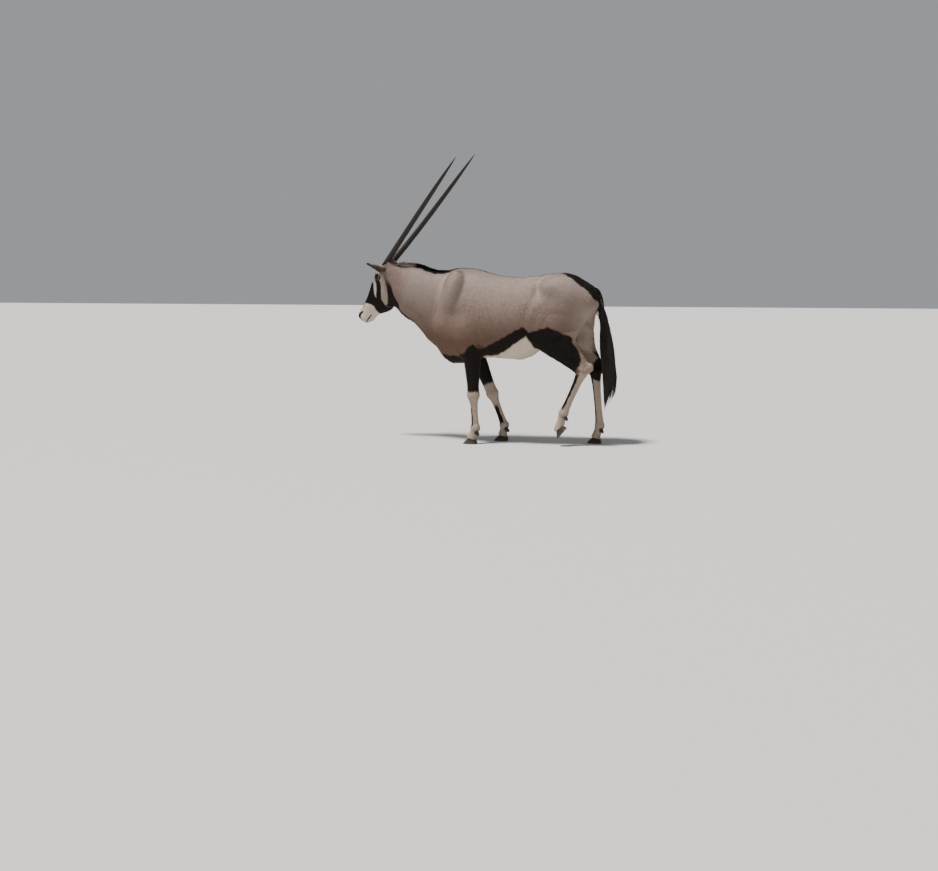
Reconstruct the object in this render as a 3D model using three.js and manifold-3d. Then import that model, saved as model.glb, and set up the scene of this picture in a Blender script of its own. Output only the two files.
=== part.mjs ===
// A gemsbok cow at a walk, life size: three hooves on the ground, the left hind foot swinging forward.
// Millimetres, +Z up, head towards -X, the animal's left side towards -Y.
// Every fleshy part is a tube of rings cast outwards onto a smooth field of muscles and bones,
// then joined, and parted again with thin plane cuts so that each part is a solid of its own.
import * as THREE from "three";
import { mergeVertices } from "three/addons/utils/BufferGeometryUtils.js";
import Module from "manifold-3d";

const wasm = await Module();
wasm.setup();

const GAP = 0.3; // between parts that touch
const SOCKET_GAP = 0.4; // round an eyeball
const DEGREE = Math.PI / 180;
const LEFT = -1;
const RIGHT = 1;
const SIDES = [
  ["left", LEFT],
  ["right", RIGHT],
];

// Trunk and neck: along X, the top line, the underline, the half width, and how high the widest level is.
const TRUNK = [
  [-925, 1170, 1000, 36, 0.52],
  [-898, 1202, 946, 56, 0.5],
  [-850, 1210, 886, 71, 0.5],
  [-800, 1211, 846, 81, 0.5],
  [-750, 1209, 818, 89, 0.49],
  [-700, 1203, 772, 98, 0.48],
  [-640, 1187, 700, 114, 0.46],
  [-580, 1173, 648, 131, 0.44],
  [-520, 1172, 572, 142, 0.43],
  [-460, 1187, 541, 150, 0.42],
  [-400, 1196, 543, 158, 0.42],
  [-300, 1188, 572, 174, 0.42],
  [-200, 1160, 584, 191, 0.43],
  [-100, 1139, 579, 203, 0.44],
  [0, 1134, 575, 207, 0.45],
  [70, 1138, 594, 202, 0.46],
  [140, 1146, 640, 186, 0.5],
  [210, 1157, 684, 170, 0.54],
  [290, 1164, 726, 154, 0.56],
  [360, 1151, 775, 138, 0.56],
  [430, 1115, 832, 114, 0.54],
  [490, 1074, 888, 80, 0.52],
  [525, 1030, 940, 44, 0.5],
];
const TRUNK_CREST = 1.75; // the section's roundness above its widest level: 1 is a ridge, 2 an ellipse
const TRUNK_KEEL = 2.15; // and below it
const NECK_TURN_FROM = -650; // the neck bends to the right ahead of here
const HEAD_YAW = 16 * DEGREE;
const NECK_END = -880;

// Muscles and bony points on the trunk: centre with Y out from the middle, radii, lean back from upright.
const TRUNK_MASSES = [
  { at: [-448, 88, 975], size: [82, 74, 200], lean: 6 }, // shoulder blade
  { at: [-498, 96, 790], size: [74, 62, 92], lean: 0 }, // point of the shoulder
  { at: [-372, 112, 750], size: [112, 70, 120], lean: -24 }, // triceps
  { at: [212, 124, 1056], size: [46, 42, 38], lean: 0 }, // point of the hip
  { at: [300, 88, 1010], size: [165, 84, 120], lean: 18 }, // rump
  { at: [455, 62, 985], size: [74, 50, 80], lean: 0 }, // seat bone
];
const MASS_BLEND = 60;
// Hollows (minus) and swells on both flanks: X, Z, reach along and across, lean, height.
const RELIEF = [
  [-545, 960, 36, 170, 3, -8], // groove between neck and shoulder
  [-384, 975, 44, 120, 20, -8], // behind the spine of the shoulder blade
  [-268, 720, 32, 70, -22, -9], // crease behind the elbow
  [150, 1036, 50, 56, 0, -16], // hollow of the flank
  [92, 860, 36, 90, 16, -8], // ahead of the thigh
  [146, 905, 34, 90, 22, 7], // front edge of the haunch
  [-150, 900, 160, 120, 0, 4], // rib cage
];

// Legs: joint centres in the walk, Y being the signed side.
const FORE_JOINTS = {
  left: [
    [-452, -104, 800],
    [-312, -120, 640],
    [-304, -112, 338],
    [-291, -106, 110],
    [-318, -105, 40],
  ],
  right: [
    [-452, 104, 800],
    [-352, 120, 648],
    [-216, 112, 330],
    [-129, 106, 110],
    [-141, 105, 40],
  ],
};
const HIND_JOINTS = {
  left: [
    [318, -96, 965],
    [168, -130, 745],
    [438, -112, 508],
    [314, -106, 226],
    [283, -105, 119],
  ],
  right: [
    [345, 96, 965],
    [232, 130, 735],
    [500, 112, 492],
    [534, 106, 122],
    [508, 105, 40],
  ],
};
// Girths along a leg: bone number plus the fraction down it, half depth fore and aft, half width.
const FORE_GIRTHS = [
  [0, 60, 36],
  [0.6, 84, 54],
  [1, 70, 46],
  [1.25, 55, 41],
  [1.6, 44, 33],
  [1.85, 38, 31],
  [2, 39, 34],
  [2.14, 33, 30],
  [2.3, 24, 22],
  [2.6, 21, 18],
  [2.85, 23, 20],
  [3, 28, 26],
  [3.45, 24, 25],
  [4, 30, 31],
];
const HIND_GIRTHS = [
  [0, 96, 50],
  [0.28, 142, 76],
  [0.6, 134, 80],
  [1, 92, 63],
  [1.3, 74, 50],
  [1.62, 52, 36],
  [1.85, 40, 29],
  [2, 38, 32],
  [2.16, 31, 28],
  [2.34, 25, 22],
  [2.65, 23, 19],
  [2.88, 25, 21],
  [3, 29, 26],
  [3.45, 25, 25],
  [4, 30, 31],
];
const LEG_BLEND = 18;
const THIGH_BLEND = 60;
const ROOT_BLEND = 60; // where a leg grows out of the trunk
const ROOT_REACH = 26;
const OLECRANON = { back: 44, up: 34, size: [34, 26, 44] };
const HEEL_BONE = { back: 40, up: 22, size: [26, 20, 34] };
const TENDON_HALF = [20, 17];
const SEAT_BONE = [452, 66, 950]; // the great muscles run down from here to the back of the calf
const CALF_TOP = { left: [318, -114, 712], right: [424, 114, 712] };
const THIGH_BACK = [
  [64, 58],
  [52, 46],
];

// Feet: each stands on a sole frame, with u towards the toe, from under the middle of the coronet.
const SOLE_TOE = 60;
const SOLE_HEEL = 38;
const CLAW_HALF_WIDTH = 18.5;
const CLAW_SPREAD = 19;
const CLAW_OUTLINE = [
  [1, -0.4],
  [0.88, 0.16],
  [0.6, 0.62],
  [0.2, 0.92],
  [-0.3, 1],
  [-0.76, 0.8],
  [-1, 0.2],
  [-0.94, -0.5],
  [-0.5, -0.82],
  [0.1, -0.84],
  [0.66, -0.8],
  [0.93, -0.66],
];
const CORONET_HEIGHT = 38;
const CORONET_SLOPE = 16 * DEGREE; // it falls towards the heel
const CORONET_HALF_DEPTH = 31;
const SWING_PITCH = 50 * DEGREE; // the lifted foot points its toe down this far

// Head: a frame with a down the face from the forehead, b back from the face, l to the animal's left.
const FOREHEAD = [-1009, 70, 1191];
const FACE_SLOPE = 23.3 * DEGREE; // the face line's angle from upright
const HEAD = [
  [-92, 78, 112, 22, 0.5],
  [-72, 50, 158, 46, 0.48],
  [-44, 26, 186, 64, 0.44],
  [-12, 5, 201, 73, 0.4],
  [30, -3, 208, 76, 0.36],
  [80, -6, 212, 71, 0.4],
  [130, -9, 214, 65, 0.48],
  [170, -8, 216, 58, 0.52],
  [205, -9, 208, 51, 0.52],
  [240, -11, 188, 46, 0.5],
  [275, -15, 156, 42, 0.46],
  [300, -18, 128, 40, 0.47],
  [325, -21, 116, 40, 0.47],
  [350, -19, 98, 38, 0.47],
  [372, -9, 76, 31, 0.46],
  [387, 8, 50, 17, 0.5],
];
const HEAD_FACE = 2.5; // roundness of the section towards the face
const HEAD_JAW = 2.1; // and towards the jaw
const HEAD_MASSES = [
  { at: [-54, 72, 35], size: [34, 32, 29] }, // base of the horn
  { at: [30, 46, 56], size: [36, 24, 27] }, // brow
  { at: [56, 63, 50], size: [36, 30, 27] }, // round the eye
  { at: [120, 122, 36], size: [80, 62, 30] }, // cheek
  { at: [356, 4, 20], size: [28, 20, 18] }, // wing of the nostril
  { at: [366, 38, 14], size: [22, 24, 24] }, // upper lip
];
const CHIN = { at: [338, 88, 0], size: [34, 18, 24] };
const HEAD_BLEND = 22;
const EYE = { at: [54, 62, 65], radius: 18.5 };
const EYE_TILT = 24 * DEGREE; // its inner corner points down the face and forwards
const LID_HALF_LENGTH = 19;
const LID_HALF_HEIGHT = 10;
const LIDS = { upper: 4.2, lower: 3, stand: 0.8 }; // half thickness, and how far they stand off
// The nostril and the mouth, as directions from the middle of the muzzle: down, back, out.
const MUZZLE_MIDDLE = [335, 45, 0];
const NOSTRIL = [
  [46, -26, 17],
  [34, -40, 30],
  [18, -44, 40],
];
const NOSTRIL_HALF = [4, 5.5, 2.5];
const NOSTRIL_WING = [3.5, 5, 3];
const MOUTH = [
  [48, 8, 2],
  [42, 12, 18],
  [26, 21, 30],
  [6, 32, 36],
  [-14, 42, 38],
];
const MOUTH_WIDTH = 2.6;
const LIP_HALF = 3.8;

// Horns: nearly straight, ringed for the lower half, spreading early and then running side by side.
const HORN_BASE = [-66, 57, 37];
const HORN_BACK = 595;
const HORN_UP = 708;
const HORN_SPREAD = 77;
const HORN_SPREAD_RATE = 2.3; // the spreading slows down along the horn
const HORN_RADIUS = 21.5;
const HORN_RINGS = 17;
const HORN_RINGED_SHARE = 0.5;
const HORN_RING_HEIGHT = 1.5;
const HORN_SIDES = 8;

// Ears: a leaf that stands out to the side, cupped towards the front.
const EAR = { at: [-33, 88, 56], length: 168, half: 34, thick: 3.4 };
const EAR_FORWARD = 62 * DEGREE; // from straight ahead towards the side
const EAR_RISE = 12 * DEGREE;
const EAR_ROLL = 30 * DEGREE; // the cup looks this far down from level

// Tail: a dock from the croup, and the long dark hair that hangs from it.
const DOCK = [
  [462, 1036],
  [512, 1042],
  [542, 988],
  [556, 910],
  [568, 820],
  [580, 720],
];
const DOCK_RADIUS = [26, 12];
const TAIL_END_Z = 236;
const TAIL_LOCKS = 21;

const MANE_LOCKS = 21;
const MANE_FROM = -862;
const MANE_TO = -450;

// Maths

// A smooth curve through rows [at, value, value, ...], with no overshoot between rows.
function profile(rows) {
  const rise = rows
    .slice(1)
    .map((row, i) => row.map((v, k) => (v - rows[i][k]) / (row[0] - rows[i][0])));
  const slope = rows.map((row, i) =>
    row.map((_, k) => {
      if (i === 0) return rise[0][k];
      if (i === rows.length - 1) return rise[i - 1][k];
      const [p, q] = [rise[i - 1][k], rise[i][k]];
      return p * q <= 0 ? 0 : (2 * p * q) / (p + q);
    }),
  );
  return (at) => {
    const x = Math.min(Math.max(at, rows[0][0]), rows.at(-1)[0]);
    const i = Math.max(0, Math.min(rows.length - 2, rows.findIndex((row) => row[0] >= x) - 1));
    const width = rows[i + 1][0] - rows[i][0];
    const t = (x - rows[i][0]) / width;
    const [t2, t3] = [t * t, t * t * t];
    return rows[i]
      .slice(1)
      .map(
        (v, k) =>
          v * (2 * t3 - 3 * t2 + 1) +
          rows[i + 1][k + 1] * (3 * t2 - 2 * t3) +
          width * (slope[i][k + 1] * (t3 - 2 * t2 + t) + slope[i + 1][k + 1] * (t3 - t2)),
      );
  };
}

function softMin(a, b, k) {
  const h = Math.max(k - Math.abs(a - b), 0) / k;
  return Math.min(a, b) - (h * h * k) / 4;
}

// The way out from a point to a surface that it reaches at 1/g of its own offset.
const outside = (offset, g) => offset * (1 - 1 / Math.max(g, 1e-6));

// Which way a section is measured: half sizes up and down from its widest level.
function sectionDistance(across, up, half, top, bottom, crest, keel) {
  const n = up > 0 ? crest : keel;
  const v = Math.abs(up) / (up > 0 ? top : bottom);
  const g = Math.pow(Math.pow(Math.abs(across) / half, n) + Math.pow(v, n), 1 / n);
  return outside(Math.hypot(across, up), g);
}

function ellipsoid([cx, cy, cz], [rx, ry, rz], lean = 0) {
  const [c, s] = [Math.cos(lean * DEGREE), Math.sin(lean * DEGREE)];
  return (x, y, z) => {
    const [dx, dy, dz] = [x - cx, y - cy, z - cz];
    const g = Math.hypot((c * dx - s * dz) / rx, dy / ry, (s * dx + c * dz) / rz);
    return outside(Math.hypot(dx, dy, dz), g);
  };
}

// A bone with flesh: an elliptical cone between two points, half depth and half width at each end.
function bone(from, to, [depth0, width0], [depth1, width1]) {
  const along = new THREE.Vector3().subVectors(to, from);
  const length = along.length();
  along.divideScalar(length);
  const side = new THREE.Vector3(0, 1, 0).addScaledVector(along, -along.y).normalize();
  const fore = new THREE.Vector3().crossVectors(along, side);
  return (x, y, z) => {
    const [dx, dy, dz] = [x - from.x, y - from.y, z - from.z];
    const reach = dx * along.x + dy * along.y + dz * along.z;
    const t = Math.min(Math.max(reach / length, 0), 1);
    const depth = depth0 + (depth1 - depth0) * t;
    const width = width0 + (width1 - width0) * t;
    const over = reach - t * length;
    const f = dx * fore.x + dy * fore.y + dz * fore.z;
    const s = dx * side.x + dy * side.y + dz * side.z;
    const g = Math.hypot(f / depth, s / width, (2 * over) / (depth + width));
    return outside(Math.hypot(f, s, over), g);
  };
}

// Fields: each gives about how far a point is outside the flesh, negative inside.

const trunkProfile = profile(TRUNK);
const TURN_RATE = Math.tan(HEAD_YAW) / (NECK_TURN_FROM - NECK_END);
const neckShift = (x) => 0.5 * TURN_RATE * Math.max(0, NECK_TURN_FROM - x) ** 2;

const trunkMasses = TRUNK_MASSES.flatMap(({ at: [x, y, z], size, lean }) =>
  SIDES.map(([, side]) => ellipsoid([x, side * y, z], size, lean)),
);

function trunkTube(x, y, z) {
  const [top, bottom, half, widest] = trunkProfile(x);
  const level = bottom + widest * (top - bottom);
  const d = sectionDistance(
    y - neckShift(x),
    z - level,
    half,
    top - level,
    level - bottom,
    TRUNK_CREST,
    TRUNK_KEEL,
  );
  const past = Math.max(x - TRUNK.at(-1)[0], TRUNK[0][0] - x, 0);
  return past > 0 ? Math.hypot(Math.max(d, 0), past) : d;
}

function relief(x, y, z) {
  let height = 0;
  for (const [cx, cz, rx, rz, lean, rise] of RELIEF) {
    const [c, s] = [Math.cos(lean * DEGREE), Math.sin(lean * DEGREE)];
    const [dx, dz] = [x - cx, z - cz];
    const g = ((c * dx - s * dz) / rx) ** 2 + ((s * dx + c * dz) / rz) ** 2;
    height += rise * Math.exp(-g);
  }
  return height * Math.min(1, Math.abs(y - neckShift(x)) / 60);
}

function trunkField(x, y, z) {
  let d = trunkTube(x, y, z);
  for (const mass of trunkMasses) d = softMin(d, mass(x, y, z), MASS_BLEND);
  return d - relief(x, y, z);
}

// A leg's bones from its joints, with a girth at each station.
function legField(joints, girths, extras, side) {
  const points = joints.map((p) => new THREE.Vector3(...p));
  const place = (at) => {
    const i = Math.min(Math.floor(at), points.length - 2);
    return points[i].clone().lerp(points[i + 1], at - i);
  };
  const bones = girths
    .slice(1)
    .map(([at, ...girth], i) => bone(place(girths[i][0]), place(at), girths[i].slice(1), girth));
  const muscles = extras(points, side);
  return (x, y, z) => {
    const d = bones.reduce((least, b) => softMin(least, b(x, y, z), LEG_BLEND), 1e3);
    return muscles.reduce((least, [m, blend]) => softMin(least, m(x, y, z), blend), d);
  };
}

const foreExtras = ([, elbow]) => {
  const point = [elbow.x + OLECRANON.back, elbow.y, elbow.z + OLECRANON.up];
  return [[ellipsoid(point, OLECRANON.size, 20), LEG_BLEND]];
};

// The heel bone stands up behind the hock, with the great tendon running up from it.
const hindExtras = ([, , hock], side) => {
  const heel = hock
    .clone()
    .add(new THREE.Vector3(HEEL_BONE.back, 0, HEEL_BONE.up));
  const [x, y, z] = SEAT_BONE;
  const seat = new THREE.Vector3(x, side === "left" ? -y : y, z);
  const calf = new THREE.Vector3(...CALF_TOP[side]);
  return [
    [ellipsoid(heel.toArray(), HEEL_BONE.size, 35), LEG_BLEND],
    [bone(calf, heel, THIGH_BACK[1], TENDON_HALF), LEG_BLEND * 1.6],
    [bone(seat, calf, ...THIGH_BACK), THIGH_BLEND],
  ];
};

const legFields = {};
for (const [name] of SIDES) {
  legFields["foreleg_" + name] = legField(FORE_JOINTS[name], FORE_GIRTHS, foreExtras, name);
  legFields["hindleg_" + name] = legField(HIND_JOINTS[name], HIND_GIRTHS, hindExtras, name);
}

// The head's frame, and its field in that frame.
const ahead = new THREE.Vector3(-Math.cos(HEAD_YAW), Math.sin(HEAD_YAW), 0);
const upward = new THREE.Vector3(0, 0, 1);
const downFace = ahead
  .clone()
  .multiplyScalar(Math.sin(FACE_SLOPE))
  .addScaledVector(upward, -Math.cos(FACE_SLOPE));
const backFromFace = ahead
  .clone()
  .multiplyScalar(-Math.cos(FACE_SLOPE))
  .addScaledVector(upward, -Math.sin(FACE_SLOPE));
const headLeft = new THREE.Vector3().crossVectors(upward, ahead);
const headOrigin = new THREE.Vector3(...FOREHEAD);
const headPoint = ([a, b, l]) =>
  headOrigin
    .clone()
    .addScaledVector(downFace, a)
    .addScaledVector(backFromFace, b)
    .addScaledVector(headLeft, l);

const headProfile = profile(HEAD);
const headMasses = HEAD_MASSES.flatMap(({ at: [a, b, l], size }) => [
  ellipsoid([a, b, l], size),
  ellipsoid([a, b, -l], size),
]);
headMasses.push(ellipsoid(CHIN.at, CHIN.size));

function headLocalField(a, b, l) {
  const [front, rear, half, widest] = headProfile(a);
  const level = front + widest * (rear - front);
  let d = sectionDistance(l, level - b, half, level - front, rear - level, HEAD_FACE, HEAD_JAW);
  const past = Math.max(a - HEAD.at(-1)[0], HEAD[0][0] - a, 0);
  if (past > 0) d = Math.hypot(Math.max(d, 0), past);
  for (const mass of headMasses) d = softMin(d, mass(a, b, l), HEAD_BLEND);
  return d;
}

function headField(x, y, z) {
  const p = new THREE.Vector3(x, y, z).sub(headOrigin);
  return headLocalField(p.dot(downFace), p.dot(backFromFace), p.dot(headLeft));
}

// A part that grows out of a body: its own surface, with a soft join that reaches a little beyond it.
const rooted = (own, body, blend, reach) => (x, y, z) => {
  const d = own(x, y, z);
  return Math.max(softMin(d, body(x, y, z), blend), d - reach);
};

// Solids

// A closed mesh from rings of points; a ring of one point is a tip. Its faces are turned outwards.
function loft(rings) {
  const points = [];
  const faces = [];
  const starts = rings.map((ring) => points.push(...ring) - ring.length);
  const cap = (i) => {
    const ring = rings[i];
    if (ring.length === 1) return;
    const middle = ring
      .reduce((sum, p) => sum.add(p), new THREE.Vector3())
      .divideScalar(ring.length);
    const centre = points.push(middle) - 1;
    ring.forEach((_, k) => {
      const [p, q] = [starts[i] + k, starts[i] + ((k + 1) % ring.length)];
      faces.push(i === 0 ? [centre, q, p] : [centre, p, q]);
    });
  };
  for (let i = 0; i + 1 < rings.length; i++) {
    const count = Math.max(rings[i].length, rings[i + 1].length);
    for (let k = 0; k < count; k++) {
      const next = (k + 1) % count;
      const at = (ring, j) => starts[ring] + (rings[ring].length === 1 ? 0 : j);
      const [p, q, r, s] = [at(i, k), at(i, next), at(i + 1, next), at(i + 1, k)];
      if (p !== q) faces.push([p, q, r]);
      if (r !== s) faces.push([p, r, s]);
    }
  }
  cap(0);
  cap(rings.length - 1);
  const volume = faces.reduce((sum, [p, q, r]) => {
    const cross = new THREE.Vector3().crossVectors(points[q], points[r]);
    return sum + points[p].dot(cross);
  }, 0);
  if (volume < 0) faces.forEach((face) => face.reverse());
  const geometry = new THREE.BufferGeometry().setFromPoints(points);
  geometry.setIndex(faces.flat());
  return geometry;
}

// Rings cast from a line of centres onto a field: each centre has two directions that span its plane.
function cast(field, stations, sides, furthest = 420) {
  const rings = stations.map(({ centre, across, up }) => {
    if (!across) return [centre];
    return Array.from({ length: sides }, (_, k) => {
      const angle = (2 * Math.PI * (k + 0.5)) / sides;
      const way = across
        .clone()
        .multiplyScalar(Math.cos(angle))
        .addScaledVector(up, Math.sin(angle));
      let [inner, outer] = [0, furthest];
      const step = 6;
      for (let r = step; r < furthest; r += step) {
        const p = centre.clone().addScaledVector(way, r);
        if (field(p.x, p.y, p.z) > 0) {
          [inner, outer] = [r - step, r];
          break;
        }
      }
      for (let i = 0; i < 14; i++) {
        const r = (inner + outer) / 2;
        const p = centre.clone().addScaledVector(way, r);
        if (field(p.x, p.y, p.z) > 0) outer = r;
        else inner = r;
      }
      return centre.clone().addScaledVector(way, Math.max(inner, 0.5));
    });
  });
  return loft(rings);
}

function solid(geometry) {
  const bare = new THREE.BufferGeometry().setAttribute(
    "position",
    geometry.getAttribute("position"),
  );
  bare.setIndex(geometry.index);
  const merged = mergeVertices(bare, 1e-4);
  return new wasm.Manifold(
    new wasm.Mesh({
      numProp: 3,
      vertProperties: new Float32Array(merged.getAttribute("position").array),
      triVerts: new Uint32Array(merged.index.array),
    }),
  );
}

const largest = (shape) =>
  shape.decompose().reduce((best, one) => (one.volume() > best.volume() ? one : best));

const join = (shapes) => shapes.reduce((sum, shape) => sum.add(shape));

// What lies on the side of a plane that its normal points to.
function trim(shape, normal, point, shift = 0) {
  const n = normal.clone().normalize();
  return shape.trimByPlane(n.toArray(), n.dot(point) + shift);
}

const vec = (x, y, z) => new THREE.Vector3(x, y, z);

// A piece that grows out of a body along a direction: cut where it meets the body, with a gap.
function growOut(piece, base, way) {
  const step = way.clone().normalize().multiplyScalar(GAP + 0.1);
  return largest(piece.subtract(base.translate(step.toArray())).subtract(base));
}

// Trunk and neck

const lerp = THREE.MathUtils.lerp;
const range = (count, from, to) =>
  Array.from({ length: count }, (_, i) => lerp(from, to, i / (count - 1)));

function trunkStations() {
  const along = [
    ...[-918, -908, -894, -872, -842],
    ...range(6, -806, -622),
    ...range(24, -590, 400),
    ...[430, 458, 482, 502, 518, 529],
  ];
  const stations = along.map((x) => {
    const [top, bottom, , widest] = trunkProfile(x);
    return {
      centre: vec(x, neckShift(x), bottom + widest * (top - bottom)),
      across: vec(0, 1, 0),
      up: vec(0, 0, 1),
    };
  });
  const tip = (x, { centre }) => ({ centre: vec(x, centre.y, centre.z) });
  return [tip(-924, stations[0]), ...stations, tip(536, stations.at(-1))];
}

const TRUNK_SIDES = 28;
const limbsField = (x, y, z) => {
  if (x < NECK_TURN_FROM) return headField(x, y, z);
  const side = y < 0 ? "left" : "right";
  return Math.min(legFields["foreleg_" + side](x, y, z), legFields["hindleg_" + side](x, y, z));
};
const trunkWithRoots = rooted(trunkField, limbsField, ROOT_BLEND, ROOT_REACH);
const trunkSolid = solid(cast(trunkWithRoots, trunkStations(), TRUNK_SIDES));

// Legs

const legJoints = (name, side) => (name === "foreleg" ? FORE_JOINTS : HIND_JOINTS)[side];

// The upper leg is cast from a line through the middle of its flesh, given as X at levels of Z.
const FORE_MIDDLE = { left: [-380, -345, -316], right: [-396, -368, -345] };
const FORE_LEVELS = [760, 700, 640];
const HIND_MIDDLE = { left: [330, 268, 245, 300], right: [352, 318, 312, 352] };
const HIND_LEVELS = [1000, 850, 740, 640];

function legStations(kind, side) {
  const points = legJoints(kind, side).map((p) => vec(...p));
  const fore = kind === "foreleg";
  const levels = fore ? FORE_LEVELS : HIND_LEVELS;
  const line = (fore ? FORE_MIDDLE : HIND_MIDDLE)[side].map((x, i) =>
    vec(x, points[1].y, levels[i]),
  );
  const upper = new THREE.CatmullRomCurve3([...line, points[2]], false, "centripetal");
  const count = fore ? 10 : 15;
  const centres = range(count, 0, 1).map((t) => upper.getPoint(t));
  const lower = [2.08, 2.18, 2.34, 2.6, 2.82, 2.93, 3, 3.12, 3.36, 3.66, 4, 4.22];
  for (const at of lower) {
    const i = Math.min(Math.floor(at), points.length - 2);
    centres.push(points[i].clone().lerp(points[i + 1], at - i));
  }
  return centres.map((centre, k) =>
    k === 0 ? { centre } : { centre, across: vec(0, 1, 0), up: vec(1, 0, 0) },
  );
}

const LEG_SIDES = 12;

// Foot frames: the sole's middle, the way to the toe, and up from the sole.
function footFrame(kind, side) {
  const joints = legJoints(kind, side);
  const coronet = vec(...joints.at(-1));
  const pitch = kind === "hindleg" && side === "left" ? SWING_PITCH : 0;
  const toe = vec(-Math.cos(pitch), 0, -Math.sin(pitch));
  const up = vec(-Math.sin(pitch), 0, Math.cos(pitch));
  const rise = pitch === 0 ? coronet.z : CORONET_HEIGHT;
  return { toe, up, across: vec(0, 1, 0), sole: coronet.addScaledVector(up, -rise) };
}

const footPoint = ({ sole, toe, up, across }, u, v, h) =>
  sole.clone().addScaledVector(toe, u).addScaledVector(across, v).addScaledVector(up, h);

const coronetNormal = ({ toe, up }) =>
  up
    .clone()
    .multiplyScalar(Math.cos(CORONET_SLOPE))
    .addScaledVector(toe, -Math.sin(CORONET_SLOPE));

const legSolids = {};
for (const kind of ["foreleg", "hindleg"])
  for (const [side] of SIDES) {
    const name = kind + "_" + side;
    const frame = footFrame(kind, side);
    const middle = footPoint(frame, 0, 0, CORONET_HEIGHT);
    const whole = solid(cast(legFields[name], legStations(kind, side), LEG_SIDES));
    legSolids[name] = trim(whole, coronetNormal(frame), middle);
  }

// One claw: a wedge with a rounded outer wall and a flat inner one, its sole flat.
function claw(frame, side) {
  const rings = [-0.12, 0.25, 0.62, 1].map((t) => {
    const height = lerp(CORONET_HEIGHT + 14, 0, t);
    const toe = lerp(16, SOLE_TOE, Math.max(t, 0) ** 0.9);
    const heel = lerp(CORONET_HALF_DEPTH, SOLE_HEEL, t);
    const half = lerp(CLAW_HALF_WIDTH - 3, CLAW_HALF_WIDTH, t);
    const outline = CLAW_OUTLINE.map(([u, v]) =>
      footPoint(
        frame,
        u * (u > 0 ? toe : heel),
        side * (lerp(CLAW_SPREAD - 3, CLAW_SPREAD, t) + v * half),
        height,
      ),
    );
    return outline;
  });
  const top = footPoint(frame, 0, 0, CORONET_HEIGHT - GAP);
  return trim(solid(loft(rings)), coronetNormal(frame).negate(), top);
}

// A dewclaw: a blunt cone behind the fetlock, pointing down and back.
function dewclaw(kind, side, out) {
  const [fetlock, coronet] = legJoints(kind, side).slice(3).map((p) => vec(...p));
  const frame = footFrame(kind, side);
  const down = coronet.clone().sub(fetlock).normalize();
  const back = new THREE.Vector3().crossVectors(down, frame.across);
  const root = fetlock
    .clone()
    .addScaledVector(back, 17)
    .addScaledVector(down, 20)
    .addScaledVector(frame.across, out * 13);
  const axis = back
    .clone()
    .multiplyScalar(0.7)
    .addScaledVector(down, 0.7)
    .addScaledVector(frame.across, out * 0.2)
    .normalize();
  const cross = new THREE.Vector3().crossVectors(axis, frame.across).normalize();
  const rings = [
    [-8, 10],
    [8, 11.5],
    [22, 10],
    [31, 6],
  ].map(([at, radius]) =>
    Array.from({ length: 6 }, (_, k) => {
      const angle = (2 * Math.PI * k) / 6;
      return root
        .clone()
        .addScaledVector(axis, at)
        .addScaledVector(frame.across, radius * Math.cos(angle))
        .addScaledVector(cross, radius * 0.75 * Math.sin(angle));
    }),
  );
  rings.push([root.clone().addScaledVector(axis, 34)]);
  return growOut(solid(loft(rings)), legSolids[kind + "_" + side], axis);
}

// Head

const HEAD_SIDES = 20;
function headStations() {
  const along = [-86, -74, -58, -38, -14, 12, 34, 54, 76, 102, 132, 162, 190, 216];
  along.push(242, 266, 288, 308, 326, 342, 356, 368, 378, 386);
  const stations = along.map((a) => {
    const [front, rear, , widest] = headProfile(a);
    const level = front + widest * (rear - front);
    return {
      centre: headPoint([a, level, 0]),
      across: headLeft,
      up: backFromFace.clone().negate(),
    };
  });
  const tip = (a) => {
    const [front, rear, , widest] = headProfile(a);
    return { centre: headPoint([a, front + widest * (rear - front), 0]) };
  };
  return [tip(-92), ...stations, tip(391)];
}

const ball = (centre, radius, width = 12, height = 8) =>
  solid(
    new THREE.SphereGeometry(radius, width, height)
      .rotateX(Math.PI / 2)
      .translate(...centre.toArray()),
  );

// A round bar along points, with its own half size at each, flattened across.
function bar(points, halves, sides = 6, squash = 1, middle = headOrigin) {
  const rings = points.map((p, i) => {
    const way = new THREE.Vector3()
      .subVectors(points[Math.min(i + 1, points.length - 1)], points[Math.max(i - 1, 0)])
      .normalize();
    const out = p.clone().sub(middle);
    const across = new THREE.Vector3().crossVectors(way, out).normalize();
    const over = new THREE.Vector3().crossVectors(across, way);
    return Array.from({ length: sides }, (_, k) => {
      const angle = (2 * Math.PI * k) / sides;
      return p
        .clone()
        .addScaledVector(across, halves[i] * Math.cos(angle))
        .addScaledVector(over, halves[i] * squash * Math.sin(angle));
    });
  });
  return solid(loft(rings));
}

const headSkin = cast(headField, headStations(), HEAD_SIDES);
const skinMesh = new THREE.Mesh(
  headSkin,
  new THREE.MeshStandardMaterial({ side: THREE.DoubleSide }),
);

// Where a line from inside the head leaves its skin, moved on by a little.
function onSkin(from, way, stand) {
  const [hit] = new THREE.Raycaster(from, way).intersectObject(skinMesh);
  return hit.point.clone().addScaledVector(way, stand);
}

// A point on the almond between the lids: the angle runs from the outer corner over the upper lid.
function almond(angle, grow) {
  const u = (LID_HALF_LENGTH + grow) * Math.cos(angle);
  const v = (LID_HALF_HEIGHT + grow) * Math.sin(angle) * (1 - 0.22 * Math.cos(2 * angle));
  const [c, s] = [Math.cos(EYE_TILT), Math.sin(EYE_TILT)];
  return [-u * c - v * s, u * s - v * c];
}

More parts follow.
